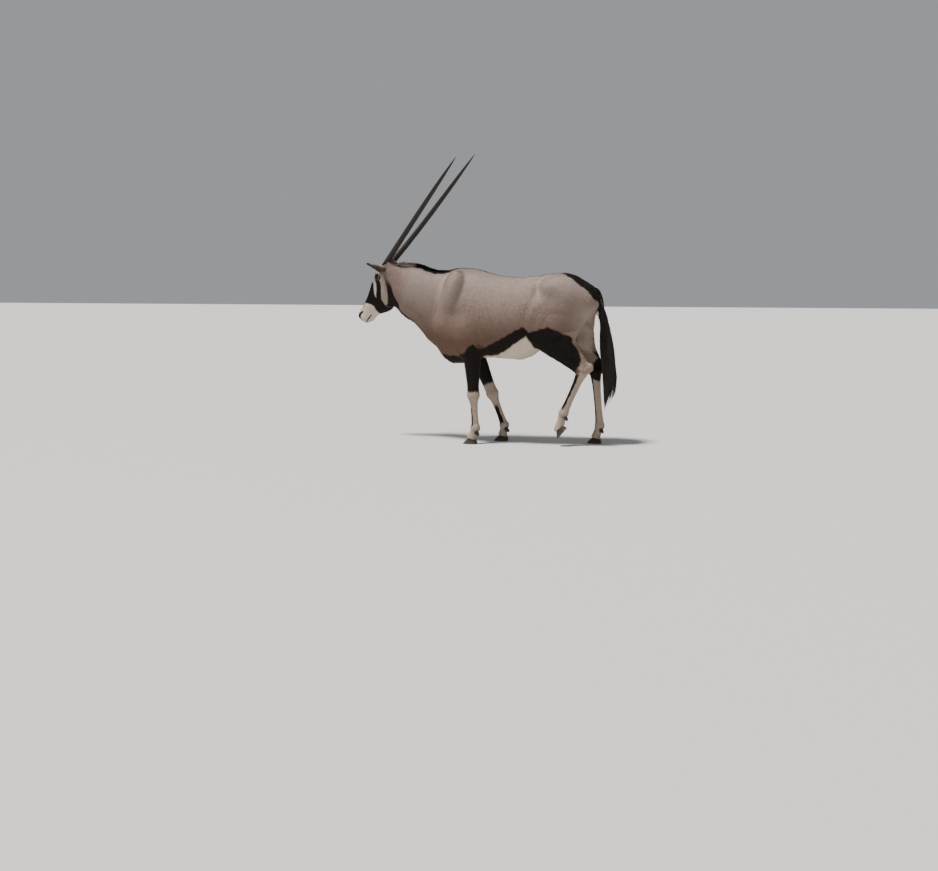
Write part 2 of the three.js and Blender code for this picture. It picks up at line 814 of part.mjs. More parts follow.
function lidPoint(angle, out, grow, stand) {
  const [a, b] = EYE.at;
  const [da, db] = almond(angle, grow);
  const way = headLeft.clone().multiplyScalar(out);
  return onSkin(headPoint([a + da, b + db, out * 20]), way, stand);
}

// Two lids: each a bar along its edge of the almond, thinning to the corners of the eye.
function lid(out, upper) {
  const steps = range(7, 0, Math.PI).map((angle) => (upper ? angle : -angle));
  const half = upper ? LIDS.upper : LIDS.lower;
  const points = steps.map((angle) => lidPoint(angle, out, 2.2, LIDS.stand));
  return bar(
    points,
    steps.map((angle) => 1 + half * Math.abs(Math.sin(angle)) ** 0.6),
    6,
    0.9,
  );
}

// The opening between the lids, cut straight out to the side.
function eyeOpening(out) {
  const [a, b, l] = EYE.at;
  const ring = (depth, grow) =>
    range(15, 0, 2 * Math.PI)
      .slice(0, 14)
      .map((angle) => {
        const [da, db] = almond(angle, grow);
        return headPoint([a + da, b + db, out * (l + depth)]);
      });
  return solid(loft([ring(4, -4), ring(60, 0)]));
}

const muzzle = headPoint(MUZZLE_MIDDLE);

// A point on the skin of the muzzle, out from its middle, standing off by a little.
function onMuzzle([a, b, l], out, stand) {
  const way = headPoint([a, b, out * l]).sub(headOrigin).normalize();
  return onSkin(muzzle, way, stand);
}

const eyes = {};
let head = solid(headSkin);
for (const [name, side] of SIDES) {
  const out = -side;
  const [a, b, l] = EYE.at;
  const centre = headPoint([a, b, out * l]);
  eyes[name] = ball(centre, EYE.radius);
  head = head
    .add(lid(out, true))
    .add(lid(out, false))
    .subtract(eyeOpening(out))
    .subtract(ball(centre, EYE.radius + SOCKET_GAP));
  const wing = NOSTRIL.map(([a1, b1, l1]) => onMuzzle([a1 - 7, b1 + 5, l1 + 3], out, -1.5));
  const nostril = NOSTRIL.map((way) => onMuzzle(way, out, -1));
  head = head
    .add(bar(wing, NOSTRIL_WING, 6, 0.9, muzzle))
    .subtract(bar(nostril, NOSTRIL_HALF, 8, 1.5, muzzle));
}
// The mouth: two soft lips along its line on each side, and the line itself cut between them.
const mouthLine = (out, drop, stand) =>
  MOUTH.map(([a, b, l]) => onMuzzle([a - drop, b + drop, l], out, stand));
const fading = (half) => MOUTH.map((_, i) => Math.max(half * (1 - 0.16 * i), 1));
for (const out of [LEFT, RIGHT])
  for (const drop of [-5, 5])
    head = head.add(bar(mouthLine(out, drop, -1.4), fading(LIP_HALF), 6, 0.9, muzzle));
for (const out of [LEFT, RIGHT])
  head = head.subtract(bar(mouthLine(out, 0, -0.6), fading(MOUTH_WIDTH), 6, 1.9, muzzle));

// Horns

function hornPoint(t, out) {
  const [a, b, l] = HORN_BASE;
  const full = 1 - Math.exp(-HORN_SPREAD_RATE);
  const spread = (HORN_SPREAD * (1 - Math.exp(-HORN_SPREAD_RATE * t))) / full;
  return headPoint([a, b, out * l])
    .addScaledVector(ahead, -HORN_BACK * t)
    .addScaledVector(upward, HORN_UP * t)
    .addScaledVector(headLeft, out * spread);
}

function horn(out) {
  const ringed = HORN_RINGS * 2;
  const stops = [-0.035];
  for (let i = 0; i <= ringed; i++) stops.push((i / ringed) * HORN_RINGED_SHARE);
  stops.push(0.56, 0.62, 0.69, 0.76, 0.83, 0.9, 0.96);
  const rings = stops.map((t, i) => {
    const centre = hornPoint(t, out);
    const way = hornPoint(t + 0.01, out).sub(hornPoint(t - 0.01, out)).normalize();
    const across = new THREE.Vector3().crossVectors(way, ahead).normalize();
    const over = new THREE.Vector3().crossVectors(across, way);
    const taper = HORN_RADIUS * Math.pow(1 - Math.max(t, 0), 0.72);
    const fade = 1 - Math.max(t, 0) / HORN_RINGED_SHARE;
    const ridge = t > 0 && t <= HORN_RINGED_SHARE ? (i % 2 ? 1 : -1) * HORN_RING_HEIGHT : 0;
    const radius = Math.max(taper, 1.2) + ridge * Math.min(1, 0.35 + fade);
    return Array.from({ length: HORN_SIDES }, (_, k) => {
      const angle = (2 * Math.PI * k) / HORN_SIDES;
      return centre
        .clone()
        .addScaledVector(across, radius * Math.cos(angle))
        .addScaledVector(over, radius * Math.sin(angle));
    });
  });
  rings.push([hornPoint(1, out)]);
  return growOut(solid(loft(rings)), body, hornPoint(0.1, out).sub(hornPoint(0, out)));
}

// Ears

function ear(out) {
  const base = headPoint([EAR.at[0], EAR.at[1], out * EAR.at[2]]);
  const sideways = headLeft.clone().multiplyScalar(out);
  const level = ahead
    .clone()
    .multiplyScalar(Math.cos(EAR_FORWARD))
    .addScaledVector(sideways, Math.sin(EAR_FORWARD));
  const way = level
    .clone()
    .multiplyScalar(Math.cos(EAR_RISE))
    .addScaledVector(upward, Math.sin(EAR_RISE))
    .normalize();
  // The cup opens forwards and a little out.
  const open = new THREE.Vector3().crossVectors(way, upward).multiplyScalar(out).normalize();
  if (open.dot(ahead) < 0) open.negate();
  open.applyAxisAngle(way, out * EAR_ROLL);
  const edge = new THREE.Vector3().crossVectors(way, open).normalize();
  const shape = profile([
    [0, 19, 1.25],
    [0.15, 26, 1.1],
    [0.34, EAR.half, 0.78],
    [0.56, EAR.half * 0.84, 0.56],
    [0.78, EAR.half * 0.46, 0.45],
    [0.94, EAR.half * 0.17, 0.3],
  ]);
  const across = 6; // steps from one edge of the leaf to the other
  const rings = [-0.1, 0.04, 0.16, 0.3, 0.45, 0.6, 0.74, 0.86, 0.94].map((t) => {
    const [half, curl] = shape(t);
    const place = (k, shift) => {
      const angle = lerp(-1, 1, k / across) * (curl * 1.9);
      const reach = half / Math.max(Math.sin(Math.min(curl * 1.9, Math.PI / 2)), 0.2);
      return base
        .clone()
        .addScaledVector(way, EAR.length * t)
        .addScaledVector(edge, (reach + shift) * Math.sin(angle))
        .addScaledVector(open, reach * 0.72 - (reach + shift) * Math.cos(angle));
    };
    const thin = t > 0.2 ? EAR.thick : lerp(8, EAR.thick, Math.max(t, 0) / 0.2);
    const outerWall = Array.from({ length: across + 1 }, (_, k) => place(k, 0));
    const innerWall = Array.from({ length: across + 1 }, (_, k) => place(across - k, -thin));
    return [...outerWall, ...innerWall];
  });
  rings.push([base.clone().addScaledVector(way, EAR.length).addScaledVector(open, -2)]);
  return growOut(solid(loft(rings)), body, way);
}

// Hair: one lock is a flat blade of four sides along a curve, thickest near its root.

let seed = 88881;
const random = () => {
  seed = (seed * 16807) % 2147483647;
  return seed / 2147483647;
};

function lock(path, across, width, thick, steps = 4) {
  const rings = Array.from({ length: steps }, (_, i) => {
    const t = i / steps;
    const centre = path(t);
    const way = path(t + 0.02).sub(path(t)).normalize();
    const side = across.clone().addScaledVector(way, -across.dot(way)).normalize();
    const over = new THREE.Vector3().crossVectors(way, side);
    const taper = Math.sin(Math.PI * Math.min(0.28 + 0.72 * t, 1)) ** 0.8;
    return [1, 0, -1, 0].map((s, k) =>
      centre
        .clone()
        .addScaledVector(side, s * width * taper)
        .addScaledVector(over, (k === 1 ? 1 : k === 3 ? -1 : 0) * thick * taper),
    );
  });
  rings.push([path(1)]);
  return solid(loft(rings));
}

// The short upright mane, from behind the horns to the withers, leaning back along the crest.
function maneLocks(from, to, count) {
  return Array.from({ length: count }, (_, i) => {
    const x = lerp(from, to, (i + 0.5) / count);
    const [top] = trunkProfile(x);
    const fade = Math.sin(Math.PI * lerp(0.22, 0.84, (x - MANE_FROM) / (MANE_TO - MANE_FROM)));
    const tall = 18 * fade + 6 * random();
    const tilt = (random() - 0.5) * 10;
    const root = vec(x, neckShift(x) + (i % 2 ? 4 : -4), top - 12);
    const path = (t) =>
      root
        .clone()
        .addScaledVector(vec(1, 0, 0), 46 * t * t + 16 * t)
        .addScaledVector(vec(0, 1, 0), tilt * t)
        .addScaledVector(upward, (tall + 12) * (t - 0.18 * t * t));
    return lock(path, vec(1, 0, 0.3), 19, 6, 3);
  });
}

// Tail

const dockCurve = new THREE.CatmullRomCurve3(DOCK.map(([x, z]) => vec(x, 0, z)));

function dock() {
  const rings = range(7, 0, 1).map((t) => {
    const centre = dockCurve.getPoint(t);
    const way = dockCurve.getTangent(t);
    const across = vec(0, 1, 0);
    const over = new THREE.Vector3().crossVectors(way, across);
    const radius = lerp(...DOCK_RADIUS, Math.sqrt(t));
    return Array.from({ length: 8 }, (_, k) => {
      const angle = (2 * Math.PI * k) / 8;
      return centre
        .clone()
        .addScaledVector(across, radius * Math.cos(angle))
        .addScaledVector(over, radius * Math.sin(angle));
    });
  });
  return solid(loft(rings));
}

function tailLocks() {
  const core = (t) => {
    const z = lerp(900, TAIL_END_Z, t);
    return vec(lerp(558, 596, Math.sqrt(t)), 0, z);
  };
  return Array.from({ length: TAIL_LOCKS }, (_, i) => {
    const start = 0.25 + 0.72 * (i / TAIL_LOCKS);
    const angle = i * 2.4;
    const root = dockCurve.getPoint(Math.min(start, 0.985));
    const out = vec(Math.cos(angle), Math.sin(angle), 0);
    const end = core(1).addScaledVector(out, 12 + 30 * random());
    end.z = lerp(560, TAIL_END_Z + 8, start ** 0.7) + 46 * random();
    const bulge = 24 + 22 * start;
    const path = (t) =>
      root
        .clone()
        .lerp(end, t)
        .addScaledVector(out, bulge * Math.sin(Math.PI * Math.min(t * 0.95, 1)) ** 0.9)
        .addScaledVector(vec(1, 0, 0), 12 * Math.sin(Math.PI * t));
    return lock(path, vec(-out.y, out.x, 0), 17, 8, 3);
  });
}

// Parting

// Each leg is parted from the trunk by planes that lean outwards from the armpit or the groin.
const PARTS = {
  foreleg: { at: [0, 58, 560], lean: 42, front: [-398, -0.12], back: [-212, -0.3] },
  hindleg: { at: [0, 44, 664], lean: 50, front: [62, -0.55], back: [600, 0] },
};

function legBlock(kind, side, grow) {
  const { at, lean, front, back } = PARTS[kind];
  const out = side === "left" ? LEFT : RIGHT;
  const box = solid(
    new THREE.BoxGeometry(1400, 500, 1100).translate(100, out * 256, 500).toNonIndexed(),
  );
  const under = vec(0, out * Math.sin(lean * DEGREE), -Math.cos(lean * DEGREE));
  const forward = vec(1, 0, front[1]);
  const rearward = vec(-1, 0, back[1]);
  let block = trim(box, under, vec(at[0], out * at[1], at[2]), -grow);
  block = trim(block, forward, vec(front[0], 0, at[2]), -grow);
  block = trim(block, rearward, vec(back[0], 0, at[2]), -grow);
  return trim(block, vec(0, out, 0), vec(0, out * 10, 0), -grow);
}

const tail = join([dock(), ...tailLocks()]);
const mane = maneLocks(MANE_FROM, MANE_TO, MANE_LOCKS);
const body = join([trunkSolid, head, ...Object.values(legSolids), ...mane]);
const solids = {};
let rest = body;
for (const kind of ["foreleg", "hindleg"])
  for (const [side] of SIDES) {
    solids[kind + "_" + side] = largest(body.intersect(legBlock(kind, side, 0)));
    rest = rest.subtract(legBlock(kind, side, GAP));
  }

// The neck leaves the torso ahead of the shoulder, and the head leaves the neck behind the jaw.
const SHOULDER_CUT = { at: vec(-592, 0, 900), normal: vec(1, 0, 0.18) };
const NAPE_CUT = { at: vec(-893, 38, 1080), normal: vec(Math.cos(0.2), -Math.sin(0.2), 0.1) };
const rump = trim(rest, SHOULDER_CUT.normal, SHOULDER_CUT.at);
const foreend = trim(rest, SHOULDER_CUT.normal.clone().negate(), SHOULDER_CUT.at, GAP);
const neck = trim(foreend, NAPE_CUT.normal, NAPE_CUT.at);
const face = trim(foreend, NAPE_CUT.normal.clone().negate(), NAPE_CUT.at, GAP);
solids.torso = largest(rump);
solids.neck = largest(neck);
solids.head = largest(face);
solids.tail = growOut(tail, body, vec(1, 0, 0.2));
for (const [name, side] of SIDES) {
  const out = -side;
  solids["eye_" + name] = eyes[name];
  solids["horn_" + name] = horn(out);
  solids["ear_" + name] = ear(out);
}
for (const [kind, short] of [
  ["foreleg", "fore"],
  ["hindleg", "hind"],
])
  for (const [side] of SIDES)
    for (const [place, out] of [
      ["outer", side === "left" ? LEFT : RIGHT],
      ["inner", side === "left" ? RIGHT : LEFT],
    ]) {
      solids[`hoof_${short}_${side}_${place}`] = claw(footFrame(kind, side), out);
      solids[`dewclaw_${short}_${side}_${place}`] = dewclaw(kind, side, out);
    }

const COLOURS = {
  coat: { color: 0x9c877a, roughness: 0.85 },
  horn: { color: 0x2a2019, roughness: 0.5 },
  hoof: { color: 0x3a322c, roughness: 0.55 },
  eye: { color: 0x120c08, roughness: 0.1 },
  tail: { color: 0x17110d, roughness: 0.7 },
};
const colourOf = (name) =>
  COLOURS[
    { horn: "horn", hoof: "hoof", dewclaw: "hoof", eye: "eye", tail: "tail" }[
      name.split("_")[0]
    ] ?? "coat"
  ];

const group = new THREE.Group();
for (const [name, shape] of Object.entries(solids)) {
  const { vertProperties, triVerts } = shape.getMesh();
  const geometry = new THREE.BufferGeometry();
  geometry.setAttribute("position", new THREE.BufferAttribute(vertProperties, 3));
  geometry.setIndex(new THREE.BufferAttribute(triVerts, 1));
  geometry.computeVertexNormals();
  const mesh = new THREE.Mesh(geometry, new THREE.MeshStandardMaterial(colourOf(name)));
  mesh.name = name;
  group.add(mesh);
}

// The origin is on the ground, under the middle of the whole animal's box.
const box = new THREE.Box3().setFromObject(group);
group.position.set(-(box.min.x + box.max.x) / 2, -(box.min.y + box.max.y) / 2, 0);

export default group;
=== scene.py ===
import math

import bpy
import numpy as np
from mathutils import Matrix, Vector


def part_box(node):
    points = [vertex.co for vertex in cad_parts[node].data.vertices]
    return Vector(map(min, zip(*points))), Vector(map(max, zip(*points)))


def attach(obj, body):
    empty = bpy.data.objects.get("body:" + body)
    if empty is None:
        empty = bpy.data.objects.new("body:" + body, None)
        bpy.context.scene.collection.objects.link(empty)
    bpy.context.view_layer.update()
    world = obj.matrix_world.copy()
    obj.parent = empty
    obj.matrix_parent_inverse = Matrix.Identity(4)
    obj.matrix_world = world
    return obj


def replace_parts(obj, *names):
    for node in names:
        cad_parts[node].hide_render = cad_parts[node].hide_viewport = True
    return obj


# A gemsbok at a walk, life size. Lengths are in millimetres until a mesh is made, in the
# animal's own frame: +Z up, head towards -X, its left side towards -Y.
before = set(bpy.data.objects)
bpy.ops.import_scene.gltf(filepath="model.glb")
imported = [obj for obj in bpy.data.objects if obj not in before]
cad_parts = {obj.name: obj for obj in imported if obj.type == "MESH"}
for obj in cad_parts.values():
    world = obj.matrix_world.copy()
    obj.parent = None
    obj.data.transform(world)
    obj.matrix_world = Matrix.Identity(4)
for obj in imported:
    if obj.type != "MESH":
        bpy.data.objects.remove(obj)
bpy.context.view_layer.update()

MM = 0.001
DEGREE = math.pi / 180
# The sides of the body, by the sign of Y.
LEFT, RIGHT = -1, 1
# The head lies at X below this.
HEAD_FROM = -905
# The forelegs stand at X below this, the hindlegs above it.
LEGS_PART_AT = -20
# The neck's own piece of coat lies at X below this.
NECK_COAT_FROM = -600
rng = np.random.default_rng(1187)

# Trunk and neck: along X, the top line, the underline, the half width, how high the widest is.
TRUNK = [
    [-925, 1170, 1000, 36, 0.52],
    [-898, 1202, 946, 56, 0.5],
    [-850, 1210, 886, 71, 0.5],
    [-800, 1211, 846, 81, 0.5],
    [-750, 1209, 818, 89, 0.49],
    [-700, 1203, 772, 98, 0.48],
    [-640, 1187, 700, 114, 0.46],
    [-580, 1173, 648, 131, 0.44],
    [-520, 1172, 572, 142, 0.43],
    [-460, 1187, 541, 150, 0.42],
    [-400, 1196, 543, 158, 0.42],
    [-300, 1188, 572, 174, 0.42],
    [-200, 1160, 584, 191, 0.43],
    [-100, 1139, 579, 203, 0.44],
    [0, 1134, 575, 207, 0.45],
    [70, 1138, 594, 202, 0.46],
    [140, 1146, 640, 186, 0.5],
    [210, 1157, 684, 170, 0.54],
    [290, 1164, 726, 154, 0.56],
    [360, 1151, 775, 138, 0.56],
    [430, 1115, 832, 114, 0.54],
    [490, 1074, 888, 80, 0.52],
    [525, 1030, 940, 44, 0.5],
]
TRUNK_CREST = 1.75
TRUNK_KEEL = 2.15
NECK_TURN_FROM = -650
NECK_END = -880
HEAD_YAW = 16 * DEGREE
# Muscles and bony points: centre, radii, lean back from upright.
TRUNK_MASSES = [
    [(-448, 88, 975), (82, 74, 200), 6],  # shoulder blade
    [(-498, 96, 790), (74, 62, 92), 0],  # point of the shoulder
    [(-372, 112, 750), (112, 70, 120), -24],  # triceps
    [(212, 124, 1056), (46, 42, 38), 0],  # point of the hip
    [(300, 88, 1010), (165, 84, 120), 18],  # rump
    [(455, 62, 985), (74, 50, 80), 0],  # seat bone
]
MASS_BLEND = 60
# Hollows (minus) and swells on both flanks: X, Z, reach along and across, lean, height.
RELIEF = [
    [-556, 960, 34, 180, 3, -2.5],
    [-484, 985, 40, 165, -2, 8],
    [-398, 1010, 30, 115, 14, -9],
    [-300, 965, 62, 90, 8, 6],
    [-268, 720, 32, 70, -22, -9],
    [137, 1034, 40, 54, 0, -20],
    [74, 890, 32, 90, 20, -8],
    [132, 940, 34, 92, 36, 9],
    [-150, 900, 160, 120, 0, 4],
]
# Joints of each leg: its top, elbow or stifle, knee or hock, fetlock, coronet, each as X, Z;
# the row below gives how far out from the middle they lie.
JOINT_PLACES = {
    ("fore", LEFT): [(-452, 800), (-312, 640), (-304, 338), (-291, 110), (-318, 40)],
    ("fore", RIGHT): [(-452, 800), (-352, 648), (-216, 330), (-129, 110), (-141, 40)],
    ("hind", LEFT): [(318, 965), (168, 745), (438, 508), (314, 226), (283, 119)],
    ("hind", RIGHT): [(345, 965), (232, 735), (500, 492), (534, 122), (508, 40)],
}
JOINTS_OUT = {"fore": (104, 120, 112, 106, 105), "hind": (96, 130, 112, 106, 105)}
JOINTS = {
    (kind, side): np.array([(x, side * out, z) for (x, z), out in zip(row, JOINTS_OUT[kind])], float)
    for (kind, side), row in JOINT_PLACES.items()
}
# Girths along a leg: joint number plus the fraction down the bone, half depth, half width.
FORE_GIRTHS = [
    [0, 60, 36],
    [0.6, 84, 54],
    [1, 70, 46],
    [1.25, 55, 41],
    [1.6, 44, 33],
    [1.85, 38, 31],
    [2, 39, 34],
    [2.14, 33, 30],
    [2.3, 24, 22],
    [2.6, 21, 18],
    [2.85, 23, 20],
    [3, 28, 26],
    [3.45, 24, 25],
    [4, 30, 31],
]
HIND_GIRTHS = [
    [0, 96, 50],
    [0.28, 142, 76],
    [0.6, 134, 80],
    [1, 92, 63],
    [1.3, 74, 50],
    [1.62, 52, 36],
    [1.85, 40, 29],
    [2, 38, 32],
    [2.16, 31, 28],
    [2.34, 25, 22],
    [2.65, 23, 19],
    [2.88, 25, 21],
    [3, 29, 26],
    [3.45, 25, 25],
    [4, 30, 31],
]
LEG_BLEND = 18
JOINT_BLEND = 10
LEG_FLESH = 4.2
THIGH_BLEND = 60
ROOT_BLEND = 60
ROOT_REACH = 26
OLECRANON = (44, 34, (34, 26, 44))
HEEL_BONE = (40, 22, (26, 20, 34))
TENDON_HALF = (20, 17)
SEAT_BONE = (452, 66, 950)
CALF_TOP = {LEFT: (318, -114, 712), RIGHT: (424, 114, 712)}
THIGH_BACK = [(64, 58), (52, 46)]
CORONET_HEIGHT = 38
CORONET_SLOPE = 16 * DEGREE
SWING_PITCH = 50 * DEGREE

# Head: a runs down the face from the forehead, b back from the face, l to the animal's left.
FOREHEAD = np.array([-1009.0, 70.0, 1191.0])
FACE_SLOPE = 23.3 * DEGREE
# Along a: the front line, the rear line, the half width, how far back the widest is.
HEAD = [
    [-92, 78, 112, 22, 0.5],
    [-72, 50, 158, 46, 0.48],
    [-44, 26, 186, 64, 0.44],
    [-12, 5, 201, 73, 0.4],
    [30, -3, 208, 76, 0.36],
    [80, -6, 212, 71, 0.4],
    [130, -9, 214, 65, 0.48],
    [170, -8, 216, 58, 0.52],
    [205, -9, 208, 51, 0.52],
    [240, -11, 188, 46, 0.5],
    [275, -15, 150, 42, 0.46],
    [300, -18, 118, 40, 0.47],
    [325, -21, 100, 40, 0.49],
    [350, -19, 87, 38, 0.49],
    [372, -9, 71, 31, 0.48],
    [387, 8, 50, 17, 0.5],
]
HEAD_FACE = 2.5
HEAD_JAW = 2.1
HEAD_MASSES = [
    [(-54, 72, 35), (34, 32, 29)],  # base of the horn
    [(30, 46, 56), (36, 24, 27)],  # brow
    [(56, 63, 50), (36, 30, 27)],  # round the eye
    [(120, 122, 36), (80, 62, 30)],  # cheek
    [(356, 4, 20), (28, 20, 18)],  # wing of the nostril
    [(366, 38, 14), (22, 24, 24)],  # upper lip
]
CHIN = [(334, 76, 0), (34, 16, 24)]
HEAD_BLEND = 22
EYE_AT = (54, 62, 65)
EYE_RADIUS = 18.5
EYE_TILT = 24 * DEGREE
LID_HALF_LENGTH = 18
LID_HALF_HEIGHT = (11, 8.5)
MUZZLE_MIDDLE = np.array([335.0, 45.0, 0.0])
NOSTRIL = [(46, -25, 13), (31, -36, 24), (13, -38, 31), (-6, -34, 35)]
NOSTRIL_DENT = [3.5, 7.5, 7.0, 2.5]
MOUTH = [(50, 6, 0), (42, 12, 18), (26, 21, 30), (6, 32, 36), (-14, 42, 38)]
EAR_AT = (-33, 88, 56)
EAR_LENGTH = 168
EAR_FORWARD = 62 * DEGREE
EAR_RISE = 12 * DEGREE
EAR_ROLL = 30 * DEGREE
HORN_BASE = (-66, 58, 35)
# How far the tips reach back and up, and how fast the horns part: 1 is the left horn.
HORN_REACH = {1: (590, 692), -1: (613, 724)}
HORN_SPREAD = 77
HORN_SPREAD_RATE = {1: 0.7, -1: 2.3}
HORN_RADIUS = 19.5
# Share of the horn's length, share of its radius.
HORN_TAPER = [(0, 1), (0.3, 0.9), (0.5, 0.82), (0.7, 0.69), (0.82, 0.53), (0.92, 0.32)]
HORN_TAPER += [(0.98, 0.13), (1, 0.04)]
HORN_RINGS = 26
HORN_RINGED_SHARE = 0.55


# Maths on rows of points


def unit(v):
    return v / np.maximum(np.linalg.norm(v, axis=-1, keepdims=True), 1e-9)


def smooth(low, high, value):
    t = np.clip((value - low) / (high - low), 0, 1)
    return t * t * (3 - 2 * t)


def bell(value, middle, reach):
    return np.exp(-(((value - middle) / reach) ** 2))


def profile(rows):
    rows = np.array(rows, float)
    at, value = rows[:, 0], rows[:, 1:]
    rise = np.diff(value, axis=0) / np.diff(at)[:, None]
    slope = np.vstack([rise[:1], rise[:-1] * 0, rise[-1:]])
    p, q = rise[:-1], rise[1:]
    safe = np.where(np.abs(p + q) < 1e-9, 1, p + q)
    slope[1:-1] = np.where(p * q <= 0, 0, 2 * p * q / safe)

    def read(x):
        x = np.clip(x, at[0], at[-1])
        i = np.clip(np.searchsorted(at, x) - 1, 0, len(at) - 2)
        width = at[i + 1] - at[i]
        t = ((x - at[i]) / width)[..., None]
        width = width[..., None]
        return (
            value[i] * (2 * t**3 - 3 * t**2 + 1)
            + value[i + 1] * (3 * t**2 - 2 * t**3)
            + width * (slope[i] * (t**3 - 2 * t**2 + t) + slope[i + 1] * (t**3 - t**2))
        )

    return read


def soft_min(a, b, k):
    h = np.maximum(k - np.abs(a - b), 0) / k
    return np.minimum(a, b) - h * h * k / 4


def soft_max(a, b, k):
    return -soft_min(-a, -b, k)


def outside(offset, g):
    return offset * (1 - 1 / np.maximum(g, 1e-6))


def section_distance(across, up, half, top, bottom, crest, keel):
    n = np.where(up > 0, crest, keel)
    v = np.abs(up) / np.where(up > 0, top, bottom)
    g = ((np.abs(across) / half) ** n + v**n) ** (1 / n)
    return outside(np.hypot(across, up), g)


def ellipsoid(points, centre, radii, lean=0):
    c, s = math.cos(lean * DEGREE), math.sin(lean * DEGREE)
    d = points - np.array(centre, float)
    u = (c * d[:, 0] - s * d[:, 2]) / radii[0]
    w = (s * d[:, 0] + c * d[:, 2]) / radii[2]
    g = np.sqrt(u * u + (d[:, 1] / radii[1]) ** 2 + w * w)
    return outside(np.linalg.norm(d, axis=1), g)


def bone(points, start, end, girth):
    along = end - start
    length = np.linalg.norm(along)
    along = along / length
    side = unit(np.array([0.0, 1.0, 0.0]) - along * along[1])
    fore = np.cross(along, side)
    d = points - start
    reach = d @ along
    t = np.clip(reach / length, 0, 1)
    depth, width = girth(t)
    over = reach - t * length
    f, s = d @ fore, d @ side
    g = np.sqrt((f / depth) ** 2 + (s / width) ** 2 + (2 * over / (depth + width)) ** 2)
    return outside(np.sqrt(f * f + s * s + over * over), g)


# The animal as a field: about how far a point is outside the flesh, negative inside

trunk_profile = profile(TRUNK)
TURN_RATE = math.tan(HEAD_YAW) / (NECK_TURN_FROM - NECK_END)


def neck_shift(x):
    return 0.5 * TURN_RATE * np.maximum(0, NECK_TURN_FROM - x) ** 2


def relief(p):
    height = 0
    for cx, cz, rx, rz, lean, rise in RELIEF:
        c, s = math.cos(lean * DEGREE), math.sin(lean * DEGREE)
        dx, dz = p[:, 0] - cx, p[:, 2] - cz
        g = ((c * dx - s * dz) / rx) ** 2 + ((s * dx + c * dz) / rz) ** 2
        height = height + rise * np.exp(-g)
    return height * np.minimum(1, np.abs(p[:, 1] - neck_shift(p[:, 0])) / 60)


def trunk_field(p):
    x, y, z = p.T
    top, bottom, half, widest = trunk_profile(x).T
    level = bottom + widest * (top - bottom)
    d = section_distance(
        y - neck_shift(x), z - level, half, top - level, level - bottom, TRUNK_CREST, TRUNK_KEEL
    )
    past = np.maximum(np.maximum(x - TRUNK[-1][0], TRUNK[0][0] - x), 0)
    d = np.where(past > 0, np.hypot(np.maximum(d, 0), past), d)
    for (mx, my, mz), size, lean in TRUNK_MASSES:
        for side in (LEFT, RIGHT):
            d = soft_min(d, ellipsoid(p, (mx, side * my, mz), size, lean), MASS_BLEND)
    return d - relief(p)


leg_girth = {"fore": profile(FORE_GIRTHS), "hind": profile(HIND_GIRTHS)}


def even(first, last):
    """Half depth and half width that change evenly between two ends."""
    return lambda t: [a + (b - a) * t for a, b in zip(first, last)]


def leg_field(p, kind, side):
    joints, girth = JOINTS[kind, side], leg_girth[kind]
    d = np.full(len(p), 1e3)
    for i, (start, end) in enumerate(zip(joints, joints[1:])):
        d = soft_min(d, bone(p, start, end, lambda t, i=i: girth(i + t).T + LEG_FLESH), JOINT_BLEND)
    if kind == "fore":
        back, up, size = OLECRANON
        elbow = joints[1] + (back, 0, up)
        return soft_min(d, ellipsoid(p, elbow, size, 20), LEG_BLEND)
    back, up, size = HEEL_BONE
    heel = joints[2] + (back, 0, up)
    seat = np.array([SEAT_BONE[0], side * SEAT_BONE[1], SEAT_BONE[2]], float)
    calf = np.array(CALF_TOP[side], float)
    d = soft_min(d, ellipsoid(p, heel, size, 35), LEG_BLEND)
    d = soft_min(d, bone(p, calf, heel, even(THIGH_BACK[1], TENDON_HALF)), LEG_BLEND * 1.6)
    return soft_min(d, bone(p, seat, calf, even(*THIGH_BACK)), THIGH_BLEND)


ahead = np.array([-math.cos(HEAD_YAW), math.sin(HEAD_YAW), 0])
upward = np.array([0.0, 0.0, 1.0])
down_face = ahead * math.sin(FACE_SLOPE) - upward * math.cos(FACE_SLOPE)
back_from_face = -ahead * math.cos(FACE_SLOPE) - upward * math.sin(FACE_SLOPE)
head_left = np.cross(upward, ahead)
HEAD_AXES = np.array([down_face, back_from_face, head_left])


def head_point(abl):
    return FOREHEAD + np.asarray(abl, float) @ HEAD_AXES


def head_local(p):
    return (p - FOREHEAD) @ HEAD_AXES.T


head_profile = profile(HEAD)


def head_field_local(q):
    a, b, l = q.T
    front, rear, half, widest = head_profile(a).T
    level = front + widest * (rear - front)
    d = section_distance(l, level - b, half, level - front, rear - level, HEAD_FACE, HEAD_JAW)
    past = np.maximum(np.maximum(a - HEAD[-1][0], HEAD[0][0] - a), 0)
    d = np.where(past > 0, np.hypot(np.maximum(d, 0), past), d)
    for (ma, mb, ml), size in HEAD_MASSES:
        for side in (LEFT, RIGHT):
            d = soft_min(d, ellipsoid(q, (ma, mb, side * ml), size), HEAD_BLEND)
    return soft_min(d, ellipsoid(q, *CHIN), HEAD_BLEND)


def rooted(own, body, blend, reach):
    return np.maximum(soft_min(own, body, blend), own - reach)


def foot_frame(kind, side):
    """The middle of the sole, the way to the toe and the way up the foot."""
    coronet = JOINTS[kind, side][-1]
    pitch = SWING_PITCH if (kind, side) == ("hind", LEFT) else 0
    toe = np.array([-math.cos(pitch), 0, -math.sin(pitch)])
    up = np.array([-math.sin(pitch), 0, math.cos(pitch)])
    rise = CORONET_HEIGHT if pitch else coronet[2]
    return coronet - up * rise, toe, up


